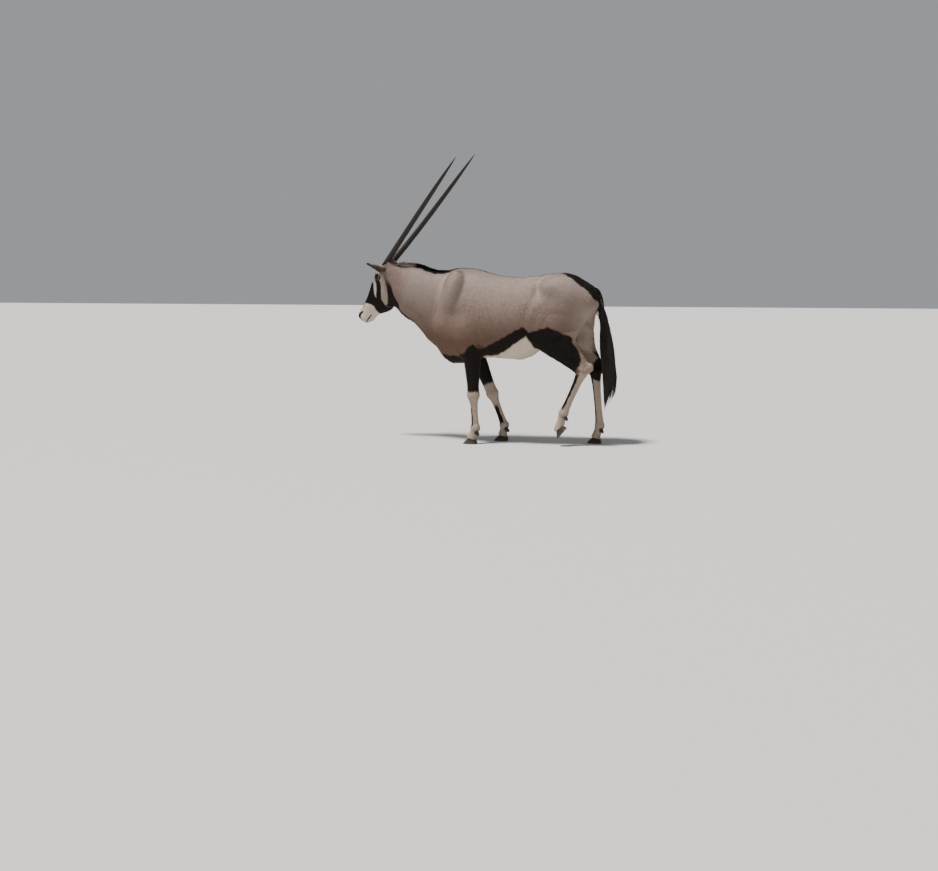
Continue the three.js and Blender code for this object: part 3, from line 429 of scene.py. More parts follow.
def above_coronet(p, kind, side):
    sole, toe, up = foot_frame(kind, side)
    normal = up * math.cos(CORONET_SLOPE) - toe * math.sin(CORONET_SLOPE)
    return (p - sole - up * (CORONET_HEIGHT - 3)) @ normal


def coat_depth(p):
    """How far the skin lies inside the outline of the coat."""
    a = head_local(p)[:, 0]
    x, _, z = p.T
    depth = 5.0 - 1.8 * smooth(700, 520, z)
    head = smooth(-900, -960, x)
    return depth * (1 - head) + head * (3.2 - 1.8 * smooth(240, 340, a))


def each_leg(p, out_from, below):
    """Every leg, with the points that lie on its side of the body and lower than a height."""
    x, y, z = p.T
    for kind, side in JOINTS:
        own_half = x < LEGS_PART_AT if kind == "fore" else x > LEGS_PART_AT
        near = (side * y > out_from) & (z < below) & own_half
        if near.any():
            yield kind, side, near


def legs_field(p):
    legs = np.full(len(p), 1e3)
    for kind, side, near in each_leg(p, -40, 1130):
        own = leg_field(p[near], kind, side)
        own = np.maximum(own, -above_coronet(p[near], kind, side))
        legs[near] = np.minimum(legs[near], own)
    return legs


def flesh(p):
    """The whole animal apart from ears, horns, hooves and tail."""
    d = trunk_field(p)
    legs = legs_field(p)
    front = p[:, 0] < NECK_TURN_FROM
    head = np.full(len(p), 1e3)
    if front.any():
        head[front] = head_field_local(head_local(p[front]))
    limbs = np.where(front, head, legs)
    return np.minimum(limbs, rooted(d, limbs, ROOT_BLEND, ROOT_REACH))


def chain(q, points, radii):
    """Distance to a bent rod that swells and thins between its points."""
    d = np.full(len(q), 1e3)
    for a, b, ra, rb in zip(points, points[1:], radii, radii[1:]):
        along = b - a
        t = np.clip((q - a) @ along / (along @ along), 0, 1)
        d = np.minimum(d, np.linalg.norm(q - a - t[:, None] * along, axis=1) - ra - (rb - ra) * t)
    return d


def on_muzzle(ways):
    """Where lines from the middle of the muzzle meet its skin, in the head's own frame."""
    ways = unit(np.array(ways, float))
    low, high = np.full(len(ways), 8.0), np.full(len(ways), 90.0)
    for _ in range(24):
        r = (low + high) / 2
        q = MUZZLE_MIDDLE + ways * r[:, None]
        out = head_field_local(q) + coat_depth(head_point(q)) > 0
        low, high = np.where(out, low, r), np.where(out, r, high)
    return MUZZLE_MIDDLE + ways * low[:, None]


NOSTRIL_LINE = on_muzzle(NOSTRIL)
MOUTH_LINE = on_muzzle(MOUTH)


def eye_frame(q):
    """Along the eye's opening towards the outer corner, up to the brow, and out of the head."""
    a, b = q[:, 0] - EYE_AT[0], q[:, 1] - EYE_AT[1]
    c, s = math.cos(EYE_TILT), math.sin(EYE_TILT)
    return -a * c + b * s, -a * s - b * c, q[:, 2] - EYE_AT[2]


def eye_point(u, v, w, out):
    """The place of a point given in the frame of the left eye (out 1) or the right (-1)."""
    c, s = math.cos(EYE_TILT), math.sin(EYE_TILT)
    a, b = -u * c - v * s, u * s - v * c
    return head_point(np.stack([EYE_AT[0] + a, EYE_AT[1] + b, out * (EYE_AT[2] + w)], -1))


def lid_ring(u, v):
    """1 on the edge of the eye's opening, less inside it, more outside."""
    rise = np.where(v > 0, *LID_HALF_HEIGHT)
    return (np.abs(u / LID_HALF_LENGTH) ** 1.7 + np.abs(v / rise) ** 1.9) ** (1 / 1.8)


def head_details(q, d):
    """Lids, nostrils, mouth and the fine forms of the face; q has both sides folded onto one."""
    u, v, w = eye_frame(q)
    d = soft_min(d, np.sqrt(u * u + v * v + w * w) - EYE_RADIUS - 2.0, 6)
    lid = lid_ring(u, v)
    shown = smooth(34, 22, np.hypot(u, v)) * (w > 0)
    d = d + shown * (
        1.5 * bell(lid, 1.75, 0.16) * (v > -2)
        + 0.9 * bell(lid, 2.35, 0.2) * (v > 0)
        + 0.9 * bell(lid, 1.8, 0.16) * (v < -2)
        - 0.7 * bell(lid, 1.2, 0.16)
    )
    opening = np.maximum((lid - 1) * 8.5, 3 - w)
    d = soft_max(d, -opening, 1.4)
    a, b, l = q.T
    # nostril with its raised wing
    near = chain(q, NOSTRIL_LINE, [0, 0, 0])
    d = d - 2.0 * bell(near, 9, 3.4)
    d = soft_max(d, -chain(q, NOSTRIL_LINE, NOSTRIL_DENT), 2)
    # lips and the line of the mouth
    near = chain(q, MOUTH_LINE, [0] * len(MOUTH_LINE))
    d = d - 1.8 * bell(near, 7.0, 3.0) + 3.2 * bell(near, 0, 2.6)
    d = d + 1.6 * bell(l, 0, 2.2) * smooth(352, 366, a) * smooth(62, 40, b)
    # crest below the eye, hollow above it, edge of the chewing muscle, jaw
    d = d - 2.6 * bell(b - 84 - 0.18 * (a - 100), 0, 11) * smooth(84, 110, a) * smooth(215, 170, a)
    d = d + 3.0 * bell(a, 8, 24) * bell(b, 84, 20)
    d = d + 2.4 * bell(a - 205 + 0.45 * (b - 120), 0, 13) * smooth(60, 100, b) * smooth(190, 150, b)
    return d + 1.6 * bell(b - 118 - 0.35 * (a - 120), 0, 9) * smooth(60, 90, a) * smooth(185, 150, a)


def leg_place_of(p, kind, side):
    """How far down a leg a point is, its offset ahead of the bone and outwards, the bone's way."""
    joints = JOINTS[kind, side]
    best = np.full(len(p), 1e9)
    at, fore, out = np.zeros((3, len(p)))
    way = np.zeros_like(p)
    for i, (start, end) in enumerate(zip(joints, joints[1:])):
        along = end - start
        t = np.clip((p - start) @ along / (along @ along), 0, 1)
        away = p - start - t[:, None] * along
        d = np.linalg.norm(away, axis=1)
        near = d < best
        along = unit(along)
        level = unit(np.array([-1.0, 0, 0]) + along * along[0])
        best = np.where(near, d, best)
        at = np.where(near, i + t, at)
        fore = np.where(near, away @ level, fore)
        out = np.where(near, side * away[:, 1], out)
        way[near] = along
    return at, fore, out, way


def leg_details(p, d):
    """Tendons stand clear of the cannon bones, and the joints show their bones."""
    for kind, side, near in each_leg(p, 20, 620):
        at, fore, _, _ = leg_place_of(p[near], kind, side)
        cannon = smooth(2.1, 2.25, at) * smooth(2.98, 2.85, at)
        hollow = 2.6 * bell(fore, -5, 4.5) * cannon
        hollow += 0.7 * bell(at, 2.2, 0.08) - 0.8 * bell(at, 2.02, 0.09)
        hollow += 0.9 * bell(at, 3.4, 0.16) * smooth(4, -4, fore) - 0.8 * bell(at, 3.02, 0.12)
        if kind == "hind":
            hollow += 5.0 * bell(fore, -16, 11) * smooth(1.35, 1.6, at) * smooth(2.0, 1.85, at)
        d[near] += hollow
    return d


def body_details(p, d):
    """Ribs, the groove of the neck's vein, wrinkles of the throat and the edges of muscles."""
    x, y, z = p.T
    side = smooth(20, 70, np.abs(y - neck_shift(x)))
    top, bottom, _, _ = trunk_profile(x).T
    share = (z - bottom) / (top - bottom)
    ribs = smooth(-300, -240, x) * smooth(60, -20, x)
    ribs = ribs * smooth(0.2, 0.35, share) * smooth(0.85, 0.7, share)
    d = d + 0.9 * ribs * side * np.sin((x + 0.35 * z) * 2 * math.pi / 62)
    neck = smooth(-600, -660, x) * smooth(-920, -880, x)
    d = d + 3.2 * neck * side * bell(share, 0.24, 0.06) - 2.0 * neck * side * bell(share, 0.42, 0.12)
    d = d + 1.0 * neck * side * np.sin((x * 0.8 - z * 0.35) / 15.0) * smooth(0.5, 0.2, share)
    fold = bell((x - 60) * 0.83 + (z - 745) * 0.55, 0, 16) * smooth(640, 690, z) * smooth(860, 790, z)
    return d - 4.0 * side * fold


def skin_field(p):
    d = flesh(p) + coat_depth(p)
    head = p[:, 0] < HEAD_FROM
    if head.any():
        q = head_local(p[head])
        q[:, 2] = np.abs(q[:, 2])
        d[head] = head_details(q, d[head])
    if (~head).any():
        d[~head] = leg_details(p[~head], body_details(p[~head], d[~head]))
    return d


def slope(field, p, d, step=0.5):
    out = np.empty_like(p)
    for k in range(3):
        e = np.zeros(3)
        e[k] = step
        out[:, k] = (field(p + e) - d) / step
    return out


def settle(field, p, rounds=2, limit=4.0):
    """Moves points along the field's slope onto its surface."""
    for turn in range(rounds):
        d = field(p)
        if turn % 2 == 0:
            g = slope(field, p, d)
            g /= np.maximum((g * g).sum(1, keepdims=True), 0.15)
        move = -d[:, None] * g
        length = np.linalg.norm(move, axis=1, keepdims=True)
        p = p + move * np.minimum(1, limit / np.maximum(length, 1e-9))
    return p


# Skin mesh: a net of cells that the surface crosses, settled onto it and refined where needed


def surface_net(field, low, high, cell, block=4):
    count = [int(math.ceil((h - l) / cell / block)) * block + 1 for l, h in zip(low, high)]
    axes = [l + cell * np.arange(n) for l, n in zip(low, count)]
    value = np.full(count, np.inf)
    coarse = np.stack(np.meshgrid(*[a[::block] for a in axes], indexing="ij"), -1)
    rough = field(coarse.reshape(-1, 3)).reshape(coarse.shape[:3])
    reach = cell * block * 1.7
    cells = tuple(np.array(rough.shape) - 1)
    low_d = np.full(cells, np.inf)
    high_d = np.full(cells, -np.inf)
    for i, j, k in np.ndindex(2, 2, 2):
        part = rough[i : i + cells[0], j : j + cells[1], k : k + cells[2]]
        low_d = np.minimum(low_d, part)
        high_d = np.maximum(high_d, part)
    busy = np.argwhere((low_d < reach) & (high_d > -reach))
    wanted = np.zeros(count, bool)
    offsets = np.stack(np.meshgrid(*[np.arange(block + 1)] * 3, indexing="ij"), -1).reshape(-1, 3)
    at = (busy[:, None, :] * block + offsets[None]).reshape(-1, 3)
    wanted[tuple(at.T)] = True
    where = np.argwhere(wanted)
    points = np.stack([axes[k][where[:, k]] for k in range(3)], 1)
    for start in range(0, len(points), 200000):
        piece = slice(start, start + 200000)
        value[tuple(where[piece].T)] = field(points[piece])
    known = np.isfinite(value)
    filled = np.where(known, value, 1e3)
    inside = filled < 0
    total = np.zeros([n - 1 for n in count] + [3])
    hits = np.zeros([n - 1 for n in count])

    def crossings(axis):
        """The lines of the net along an axis that the surface crosses, and how far along each."""
        a, b = [slice(None)] * 3, [slice(None)] * 3
        a[axis], b[axis] = slice(0, -1), slice(1, None)
        a, b = tuple(a), tuple(b)
        cross = (inside[a] != inside[b]) & known[a] & known[b]
        va, vb = filled[a][cross], filled[b][cross]
        return np.argwhere(cross), va / (va - vb)

    for axis in range(3):
        found, share = crossings(axis)
        point = found.astype(float)
        point[:, axis] += share
        others = [k for k in range(3) if k != axis]
        for steps in np.ndindex(2, 2):
            home = found.copy()
            home[:, others] -= steps
            ok = (home >= 0).all(1) & (home < np.array(hits.shape)).all(1)
            np.add.at(hits, tuple(home[ok].T), 1)
            np.add.at(total, tuple(home[ok].T), point[ok])
    full = hits > 0
    number = np.full(hits.shape, -1)
    number[full] = np.arange(full.sum())
    vertices = np.array(low) + cell * total[full] / hits[full][:, None]
    quads = []
    for axis in range(3):
        found, _ = crossings(axis)
        u, v = (axis + 1) % 3, (axis + 2) % 3
        found = found[(found[:, u] > 0) & (found[:, v] > 0)]
        ring = []
        for i, j in ((1, 1), (0, 1), (0, 0), (1, 0)):
            home = found.copy()
            home[:, u] -= i
            home[:, v] -= j
            home = np.minimum(home, np.array(hits.shape) - 1)
            ring.append(number[tuple(home.T)])
        ring = np.stack(ring, 1)
        flip = ~inside[tuple(found.T)]
        ring[flip] = ring[flip][:, ::-1]
        quads.append(ring[(ring >= 0).all(1)])
    return vertices, np.vstack(quads)


def split_quads(v, q):
    one = np.linalg.norm(v[q[:, 0]] - v[q[:, 2]], axis=1)
    two = np.linalg.norm(v[q[:, 1]] - v[q[:, 3]], axis=1)
    short = (one < two)[:, None]
    first = np.where(short, q[:, [0, 1, 2]], q[:, [0, 1, 3]])
    second = np.where(short, q[:, [0, 2, 3]], q[:, [1, 2, 3]])
    return np.vstack([first, second])


def edges_of(f):
    pairs = np.sort(np.vstack([f[:, [0, 1]], f[:, [1, 2]], f[:, [2, 0]]]), axis=1).astype(np.int64)
    size = int(f.max()) + 1
    keys, back = np.unique(pairs[:, 0] * size + pairs[:, 1], return_inverse=True)
    return np.stack([keys // size, keys % size], 1), back.reshape(3, -1).T


def refine(v, f, wanted):
    """Splits each edge that is longer than is wanted at its middle."""
    edges, of_face = edges_of(f)
    ends = v[edges]
    middle = ends.mean(1)
    length = np.linalg.norm(ends[:, 0] - ends[:, 1], axis=1)
    split = length > wanted(middle)
    if not split.any():
        return v, f, False
    new = np.full(len(edges), -1)
    new[split] = len(v) + np.arange(split.sum())
    v = np.vstack([v, middle[split]])
    m = new[of_face]
    code = (m >= 0) @ np.array([1, 2, 4])
    out = [f[code == 0]]
    for turn, mask in ((0, 1), (1, 2), (2, 4)):
        k = code == mask
        a, b, c = np.roll(f[k], -turn, axis=1).T
        mid = m[k][:, turn]
        out += [np.stack([a, mid, c], 1), np.stack([mid, b, c], 1)]
    for turn, mask in ((0, 3), (1, 6), (2, 5)):
        k = code == mask
        a, b, c = np.roll(f[k], -turn, axis=1).T
        ab, bc = m[k][:, turn], m[k][:, (turn + 1) % 3]
        out += [np.stack([ab, b, bc], 1), np.stack([a, ab, bc], 1), np.stack([a, bc, c], 1)]
    k = code == 7
    a, b, c = f[k].T
    ab, bc, ca = m[k].T
    for tri in ((a, ab, ca), (ab, b, bc), (ca, bc, c), (ab, bc, ca)):
        out.append(np.stack(tri, 1))
    return v, np.vstack(out), True


def add_up(at, values, count):
    """Sums rows of values into count places."""
    return np.stack([np.bincount(at, column, count) for column in values.T], 1)


def normals_of(v, f):
    cross = np.cross(v[f[:, 1]] - v[f[:, 0]], v[f[:, 2]] - v[f[:, 0]])
    return unit(add_up(f.T.ravel(), np.tile(cross, (3, 1)), len(v)))


def puller(f, total):
    """A function that gives the way from each point to the middle of its neighbours."""
    edges, _ = edges_of(f)
    at = np.concatenate([edges[:, 0], edges[:, 1]])
    far = np.concatenate([edges[:, 1], edges[:, 0]])
    count = np.bincount(at, minlength=total)[:, None]
    return lambda v: add_up(at, v[far], total) / count - v


def relax(v, f, share=0.4):
    """Evens out the net along the surface."""
    pull = puller(f, len(v))(v)
    normal = normals_of(v, f)
    pull -= (pull * normal).sum(1, keepdims=True) * normal
    return v + share * pull


def wanted_length(p):
    """The longest edge that each part of the skin may have."""
    q = head_local(p)
    eye = np.sqrt(
        (q[:, 0] - EYE_AT[0]) ** 2 + (q[:, 1] - EYE_AT[1]) ** 2 + (np.abs(q[:, 2]) - 76) ** 2
    )
    muzzle = np.linalg.norm(q - [352, 40, 0], axis=1)
    length = np.full(len(p), 13.0)
    length = np.where((p[:, 2] < 600) & (p[:, 0] > -560), 9.0, length)
    length = np.where((p[:, 2] < 150) & (p[:, 0] > -560), 6.5, length)
    length = np.where(p[:, 0] < -900, 7.5, length)
    length = np.where(muzzle < 64, 3.4, length)
    return np.where(eye < 34, 2.0, length)


NET_LOW, NET_HIGH, NET_CELL = (-1180, -290, 0), (600, 310, 1290), 8.0
SOFTEN_ROUNDS = 16


def make_skin():
    v, quads = surface_net(skin_field, NET_LOW, NET_HIGH, NET_CELL)
    f = split_quads(v, quads)
    v = settle(skin_field, v)
    v = settle(skin_field, relax(v, f))
    for _ in range(4):
        old = len(v)
        v, f, more = refine(v, f, wanted_length)
        if not more:
            break
        v[old:] = relax(v, f, 0.3)[old:]
        v[old:] = settle(skin_field, v[old:], 2, 2.5)
    return soften_joins(v, f), f


def soften_joins(v, f):
    """Evens out the skin where the trunk meets the back of the head and the tops of the legs."""
    trunk = trunk_field(v)
    x, _, z = v.T
    share = smooth(84, 50, np.abs(head_field_local(head_local(v)) - trunk))
    share = share * smooth(-800, -840, x) * smooth(-1010, -975, x)
    tops = smooth(84, 50, np.abs(legs_field(v) - trunk)) * smooth(640, 700, z) * (x > -560)
    share = np.maximum(share, tops)[:, None]
    pull = puller(f, len(v))
    for turn in range(SOFTEN_ROUNDS):
        # One round in four pushes back, so the joins soften and don't shrink.
        v = v + (0.6 if turn % 4 else -0.3) * share * pull(v)
    return v


# The animal's frame is set down on the CAD frame by the eye's middle.
low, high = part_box("eye_left")
seen_eye = np.array((Vector(low) + Vector(high)) / 2) / MM
PLACE = seen_eye - head_point(EYE_AT)


def add_object(name, data):
    made = bpy.data.objects.new(name, data)
    bpy.context.scene.collection.objects.link(made)
    return made


def add_piece(name, mesh):
    piece = add_object(name, mesh)
    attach(piece, "root")
    return piece


def write_values(mesh, key, values, kind="FLOAT"):
    layer = mesh.attributes.new(key, kind, "POINT")
    flat = np.asarray(values, np.float32).ravel()
    layer.data.foreach_set("value" if kind == "FLOAT" else "vector", flat)


def put_mesh(name, v, f, material, attributes):
    mesh = bpy.data.meshes.new(name)
    v = (np.asarray(v) + PLACE) * MM
    mesh.vertices.add(len(v))
    mesh.vertices.foreach_set("co", v.astype(np.float32).ravel())
    f = np.asarray(f)
    mesh.loops.add(f.size)
    mesh.loops.foreach_set("vertex_index", f.astype(np.int32).ravel())
    mesh.polygons.add(len(f))
    sides = f.shape[1]
    mesh.polygons.foreach_set("loop_start", (np.arange(len(f)) * sides).astype(np.int32))
    mesh.polygons.foreach_set("loop_total", np.full(len(f), sides, np.int32))
    mesh.polygons.foreach_set("use_smooth", np.ones(len(f), bool))
    for key, values in attributes.items():
        write_values(mesh, key, values)
    mesh.update(calc_edges=True)
    mesh.validate()
    mesh.materials.append(material)
    return add_piece(name, mesh)


# Markings: how black, how white and how warm each part of the coat is, from 0 to 1

# Outlines on the head, in a and b.
NOSE_PATCH = [(105, -90), (105, -10), (101, 26), (128, 41), (163, 55), (184, 76), (200, 112)]
NOSE_PATCH += [(262, 112), (251, 74), (247, 52), (258, 20), (265, -8), (268, -90)]
EYE_STRIPE = [(14, 46), (29, 32), (45, 27), (58, 28), (91, 52), (133, 68), (180, 80), (215, 86)]
EYE_STRIPE += [(262, 90), (281, 123), (291, 150), (300, 240), (215, 240), (209, 168), (202, 156)]
EYE_STRIPE += [(178, 128), (148, 118), (104, 101), (66, 80), (42, 68), (27, 56)]
JAW_STRIPE = [(14, 88), (61, 121), (85, 141), (125, 160), (165, 172), (192, 176), (207, 166)]
JAW_STRIPE += [(218, 240), (240, 300), (150, 266), (121, 218), (87, 188), (51, 160), (26, 124), (8, 96)]
FACE_WHITE = [(-26, -90), (-12, 20), (6, 48), (24, 54), (60, 60), (110, 80), (196, 90), (196, -90)]
CHEEK_PALE = [(24, 66), (60, 74), (104, 96), (148, 114), (182, 124), (206, 152), (210, 176)]
CHEEK_PALE += [(187, 182), (165, 176), (125, 164), (85, 145), (61, 125), (22, 84)]
# Outlines on the hindlegs, in X and Z.
THIGH_BAND = [(78, 772), (89, 768), (149, 786), (216, 805), (296, 768), (363, 742), (379, 722)]
THIGH_BAND += [(371, 712), (398, 666), (419, 626), (428, 586), (418, 548), (396, 512), (372, 478)]
THIGH_BAND += [(330, 440), (250, 440), (180, 560), (100, 690), (66, 746)]
INNER_BAND = [(250, 640), (300, 602), (333, 545), (401, 515), (455, 590), (420, 640), (500, 600)]
INNER_BAND += [(480, 470), (484, 424), (409, 447), (380, 480), (300, 520)]
# Edges along X: how far below the top line the dark of the back reaches, and the Z of the
# upper and lower edges of the stripe on the flank.
RUMP_EDGE = [(-900, -6), (-770, -3), (-741, 4), (-640, 17), (-560, 17), (-470, 6), (-300, 3), (200, 4)]
RUMP_EDGE += [(318, 12), (385, 36), (432, 42), (472, 52), (506, 64), (540, 120)]
STRIPE_TOP = [(-600, 590), (-534, 612), (-491, 602), (-400, 602), (-374, 618), (-346, 629), (-332, 663)]
STRIPE_TOP += [(-298, 684), (-264, 657), (-242, 653), (-160, 694), (-78, 735), (-11, 776), (35, 800)]
STRIPE_TOP += [(60, 796), (84, 772), (100, 760)]
STRIPE_BOTTOM = [(-272, -900), (-244, 599), (-148, 607), (-80, 641), (-26, 682), (27, 716), (81, 752)]
STRIPE_BOTTOM += [(110, 760)]
# The right stifle stands this far behind the left.
STEP_SHIFT = 62
# Painted shade: the lower legs are white in life, and they get only about half their white so they read
# as tan in shade.
LEG_PALE_SHADED = 0.54
# Painted shade: the cheek stripe is white in life and gets only this share of white, so it reads as tan
# in shade.
CHEEK_SHADED_WHITE = 0.36


def outline_distance(points, outline):
    """How far points lie outside a closed outline in the plane, negative inside it."""
    outline = np.array(outline, float)
    best = np.full(len(points), 1e9)
    inside = np.zeros(len(points), bool)
    x, y = points.T
    for a, b in zip(outline, np.roll(outline, -1, axis=0)):
        along = b - a
        t = np.clip((points - a) @ along / (along @ along), 0, 1)
        best = np.minimum(best, np.linalg.norm(points - a - t[:, None] * along, axis=1))
        crosses = (a[1] > y) != (b[1] > y)
        inside ^= crosses & (x < a[0] + (y - a[1]) * along[0] / (along[1] if along[1] else 1))
    return np.where(inside, -best, best)


def patch(points, outline, soft=5):
    return smooth(soft, -soft, outline_distance(points, outline))


def line(rows, x):
    rows = np.array(rows, float)
    return np.interp(x, rows[:, 0], rows[:, 1])


def ragged(p, reach):
    """A small steady wander, so that no edge of a marking is drawn with a ruler."""
    turned = p[:, [1, 2, 0]]
    wave = np.sin(turned * 0.11 + p * 0.047) + 0.7 * np.sin(turned * 0.31 - p * 0.23 + 1.3)
    return p + reach * wave


def head_markings(p):
    q = head_local(ragged(p, 1.2))
    a, b = q[:, 0], q[:, 1]
    l = np.abs(q[:, 2])
    side = q[:, :2]
    peak = 20 * bell(l, 0, 17) * smooth(150, 112, a)
    black = patch(np.stack([a + peak, b], 1), NOSE_PATCH, 4)
    black = np.maximum(black, patch(side, EYE_STRIPE, 4))
    black = np.maximum(black, patch(side, JAW_STRIPE, 5) * smooth(10, 75, a))
    crown = smooth(30 - 0.9 * l, 14 - 0.9 * l, a) * smooth(30, 22, l) * (b < 62)
    black = np.maximum(black, crown * (a > -100))
    at_horn = np.hypot(a - HORN_BASE[0] - 4, l - HORN_BASE[2])
    black = np.maximum(black, smooth(31, 25, at_horn) * (b < 74))
    white = np.maximum(patch(side, FACE_WHITE, 7), smooth(240, 256, a))
    white = np.maximum(white, CHEEK_SHADED_WHITE * patch(side, CHEEK_PALE, 8))
    folded = np.stack([a, b, l], 1)
    mouth = chain(folded, MOUTH_LINE, [0] * len(MOUTH_LINE))
    nostril = chain(folded, NOSTRIL_LINE, NOSTRIL_DENT)
    bare = np.maximum(smooth(7.5, 4, mouth), smooth(8.0, 3.5, nostril))
    u, v, w = eye_frame(folded)
    bare = np.maximum(bare, smooth(1.75, 1.35, lid_ring(u, v)) * (w > -14))
    return black, white, bare


def leg_markings(p, kind, side):
    """Black and pale on one leg, with the share of the point that belongs to it."""
    at, fore, out, _ = leg_place_of(p, kind, side)
    cannon = smooth(2.3, 2.45, at) * smooth(2.97, 2.88, at)
    own = smooth(100, 72, np.hypot(fore, out))
    if kind == "fore":
        ends = np.where(out > 0, 1.92, 1.78)
        black = smooth(0.95, 1.05, at) * smooth(ends + 0.03, ends - 0.03, at)
        front = smooth(-1, 4, fore - np.where(out > 0, 0.32, 0.6) * out - 1.5)
        black = np.maximum(black, front * cannon)
        pale = smooth(ends - 0.02, ends + 0.05, at)
        return black * own, pale * own
    shift = STEP_SHIFT if side == RIGHT else 0
    flat = np.stack([p[:, 0] - shift * smooth(800, 730, p[:, 2]), p[:, 2]], 1)
    outer = patch(flat, THIGH_BAND, 7) * smooth(-14, 2, out)
    inner = patch(flat, INNER_BAND, 7) * smooth(2, -8, out)
    front = smooth(-1, 4, fore - np.where(out > 0, 0.2 * out + 1, 5 - 0.5 * out))
    front = front * smooth(1.98, 2.15, at) * smooth(2.97, 2.88, at)
    black = np.maximum(np.maximum(outer, inner), front)
    pale = np.maximum(smooth(1.93, 2.05, at), 0.45 * smooth(1.1, 1.4, at) * smooth(6, -6, fore))
    pale = np.maximum(pale, smooth(-20, -45, out) * smooth(0.2, 0.5, at))
    return black, pale


def markings(p):
    """The coat's pattern at each point: black, white, warm and bare skin."""
    p = np.asarray(p, float)
    moved = ragged(p, 2.2)
    x, y, z = moved.T
    top = trunk_profile(x)[:, 0]
    deep = top - 5 - z
    edge = line(RUMP_EDGE, x)
    black = smooth(edge + 3.5, edge - 3.5, deep) * smooth(-800, -750, x)
    spine = smooth(18, 11, np.abs(y)) * smooth(-520, -470, x) * smooth(400, 330, x)
    black = np.maximum(black * (1 - smooth(-470, -440, x) * smooth(310, 260, x)), spine)
    body = smooth(6, -6, z - line(STRIPE_TOP, x)) * smooth(-6, 6, z - line(STRIPE_BOTTOM, x))
    black = np.maximum(black, body * smooth(104, 90, x) * (x > NECK_COAT_FROM))
    under = trunk_profile(x)[:, 1]
    throat = smooth(36, 25, z - under) * smooth(-640, -740, x) * (x > HEAD_FROM)
    throat = throat * smooth(46, 34, np.abs(y - neck_shift(x)))
    black = np.maximum(black, throat)
    # On the rump the black narrows into the root of the tail.
    width = 42 + 80 * smooth(940, 1010, z)
    narrow = smooth(width + 8, width - 8, np.abs(y))
    black = black * (1 - smooth(440, 470, x) * (1 - narrow))
    root = smooth(462, 486, x) * smooth(932, 962, z) * smooth(34, 24, np.abs(y))
    black = np.maximum(black, root)
    white = smooth(8, -8, z - line(STRIPE_BOTTOM, x)) * smooth(-256, -236, x) * (z > 0)
    white = white * smooth(70, -10, x - 210)
    white = np.maximum(white, 0.26 * smooth(320, 480, x) * smooth(1000, 860, z) * smooth(540, 640, z))
    for kind, side, near in each_leg(moved, 8, 830):
        dark, pale = leg_markings(moved[near], kind, side)
        kept = 1
        if kind == "fore":
            kept = smooth(520, 570, z[near])
            dark = dark * smooth(720, 660, z[near])
        black[near] = np.maximum(black[near] * kept, dark)
        white[near] = np.maximum(white[near] * kept, LEG_PALE_SHADED * pale)
    # Partly real coat and partly painted light: greyer on top and browner below, made strong enough to
    # give painted highlight along the back and painted shade low on the flanks.
    warm = np.clip((1120 - z) / 420, 0, 1) * 0.9 + 0.1
    warm = np.maximum(warm, smooth(-700, -860, x) * 0.55)
    bare = np.zeros(len(p))
    head = p[:, 0] < -800
    if head.any():
        h_black, h_white, h_bare = head_markings(p[head])
        behind = smooth(-930, -900, p[head][:, 0])
        black[head] = np.maximum(h_black, black[head])
        white[head] = h_white * (1 - behind)
        cheek = CHEEK_SHADED_WHITE * patch(head_local(p[head])[:, :2], CHEEK_PALE, 8)
        white[head] = np.maximum(white[head], cheek)
        bare[head] = h_bare
    # A dark tuft at the back of each fetlock.
    for kind, side, near in each_leg(p, 40, 260):
        fetlock, coronet = JOINTS[kind, side][-2:]
        back = fetlock - foot_frame(kind, side)[1] * 16 + (coronet - fetlock) * 0.3
        d = np.linalg.norm(p[near] - back, axis=1)
        black[near] = np.maximum(black[near], 0.85 * smooth(34, 22, d))
    return {"black": black, "white": white, "warm": warm, "bare": bare}


# Lie, length and place on the chart of the hairs


def coat_lie(p, normal):
    """The way the hair points at each place, along the skin."""
    x, _, z = p.T
    way = np.tile([1.0, 0.0, -0.32], (len(p), 1))
    low = smooth(1050, 650, z)[:, None]
    way = way + low * [0, 0, -0.35]
    neck = smooth(-560, -700, x)[:, None]
    way = way * (1 - neck) + neck * [0.72, 0.0, -0.7]
    rear = smooth(380, 470, x)[:, None] * smooth(1080, 980, z)[:, None]
    way = way * (1 - rear) + rear * [0.25, 0, -1.0]
    for kind, side, near in each_leg(p, 20, 860):
        along = leg_place_of(p[near], kind, side)[3]
        share = smooth(760, 600, z[near])[:, None]
        way[near] = way[near] * (1 - share) + share * (along + [0.22, 0, 0])
    head = smooth(-850, -965, x)[:, None]
    face = back_from_face * 0.85 + down_face * 0.42
    way = way * (1 - head) + head * face
    way = way - (way * normal).sum(1, keepdims=True) * normal
    return unit(way + 1e-6)


def coat_length(p):
    """Hair length in millimetres."""
    x, _, z = p.T
    top, bottom, _, _ = trunk_profile(x).T
    length = 15.0 - 5.5 * smooth(640, 480, z) - 2 * smooth(200, 80, z)
    length = length + 5 * smooth(30, 8, z - bottom) * (z > 520) * (x > -860)
    length = length + 4 * smooth(30, 5, top - z) * (x > -860)
    length = length + 5 * smooth(400, 480, x) * smooth(640, 760, z)
    q = head_local(p)
    face = 8.0 - 3.8 * smooth(200, 300, q[:, 0]) + 3 * smooth(150, 200, q[:, 1])
    head = smooth(-850, -965, x)
    length = length * (1 - head) + head * face
    u, v, w = eye_frame(np.stack([q[:, 0], q[:, 1], np.abs(q[:, 2])], 1))
    near_eye = np.sqrt(u * u + v * v + w * w)
    return np.where(x < -900, length * (0.35 + 0.65 * smooth(22, 46, near_eye)), length)


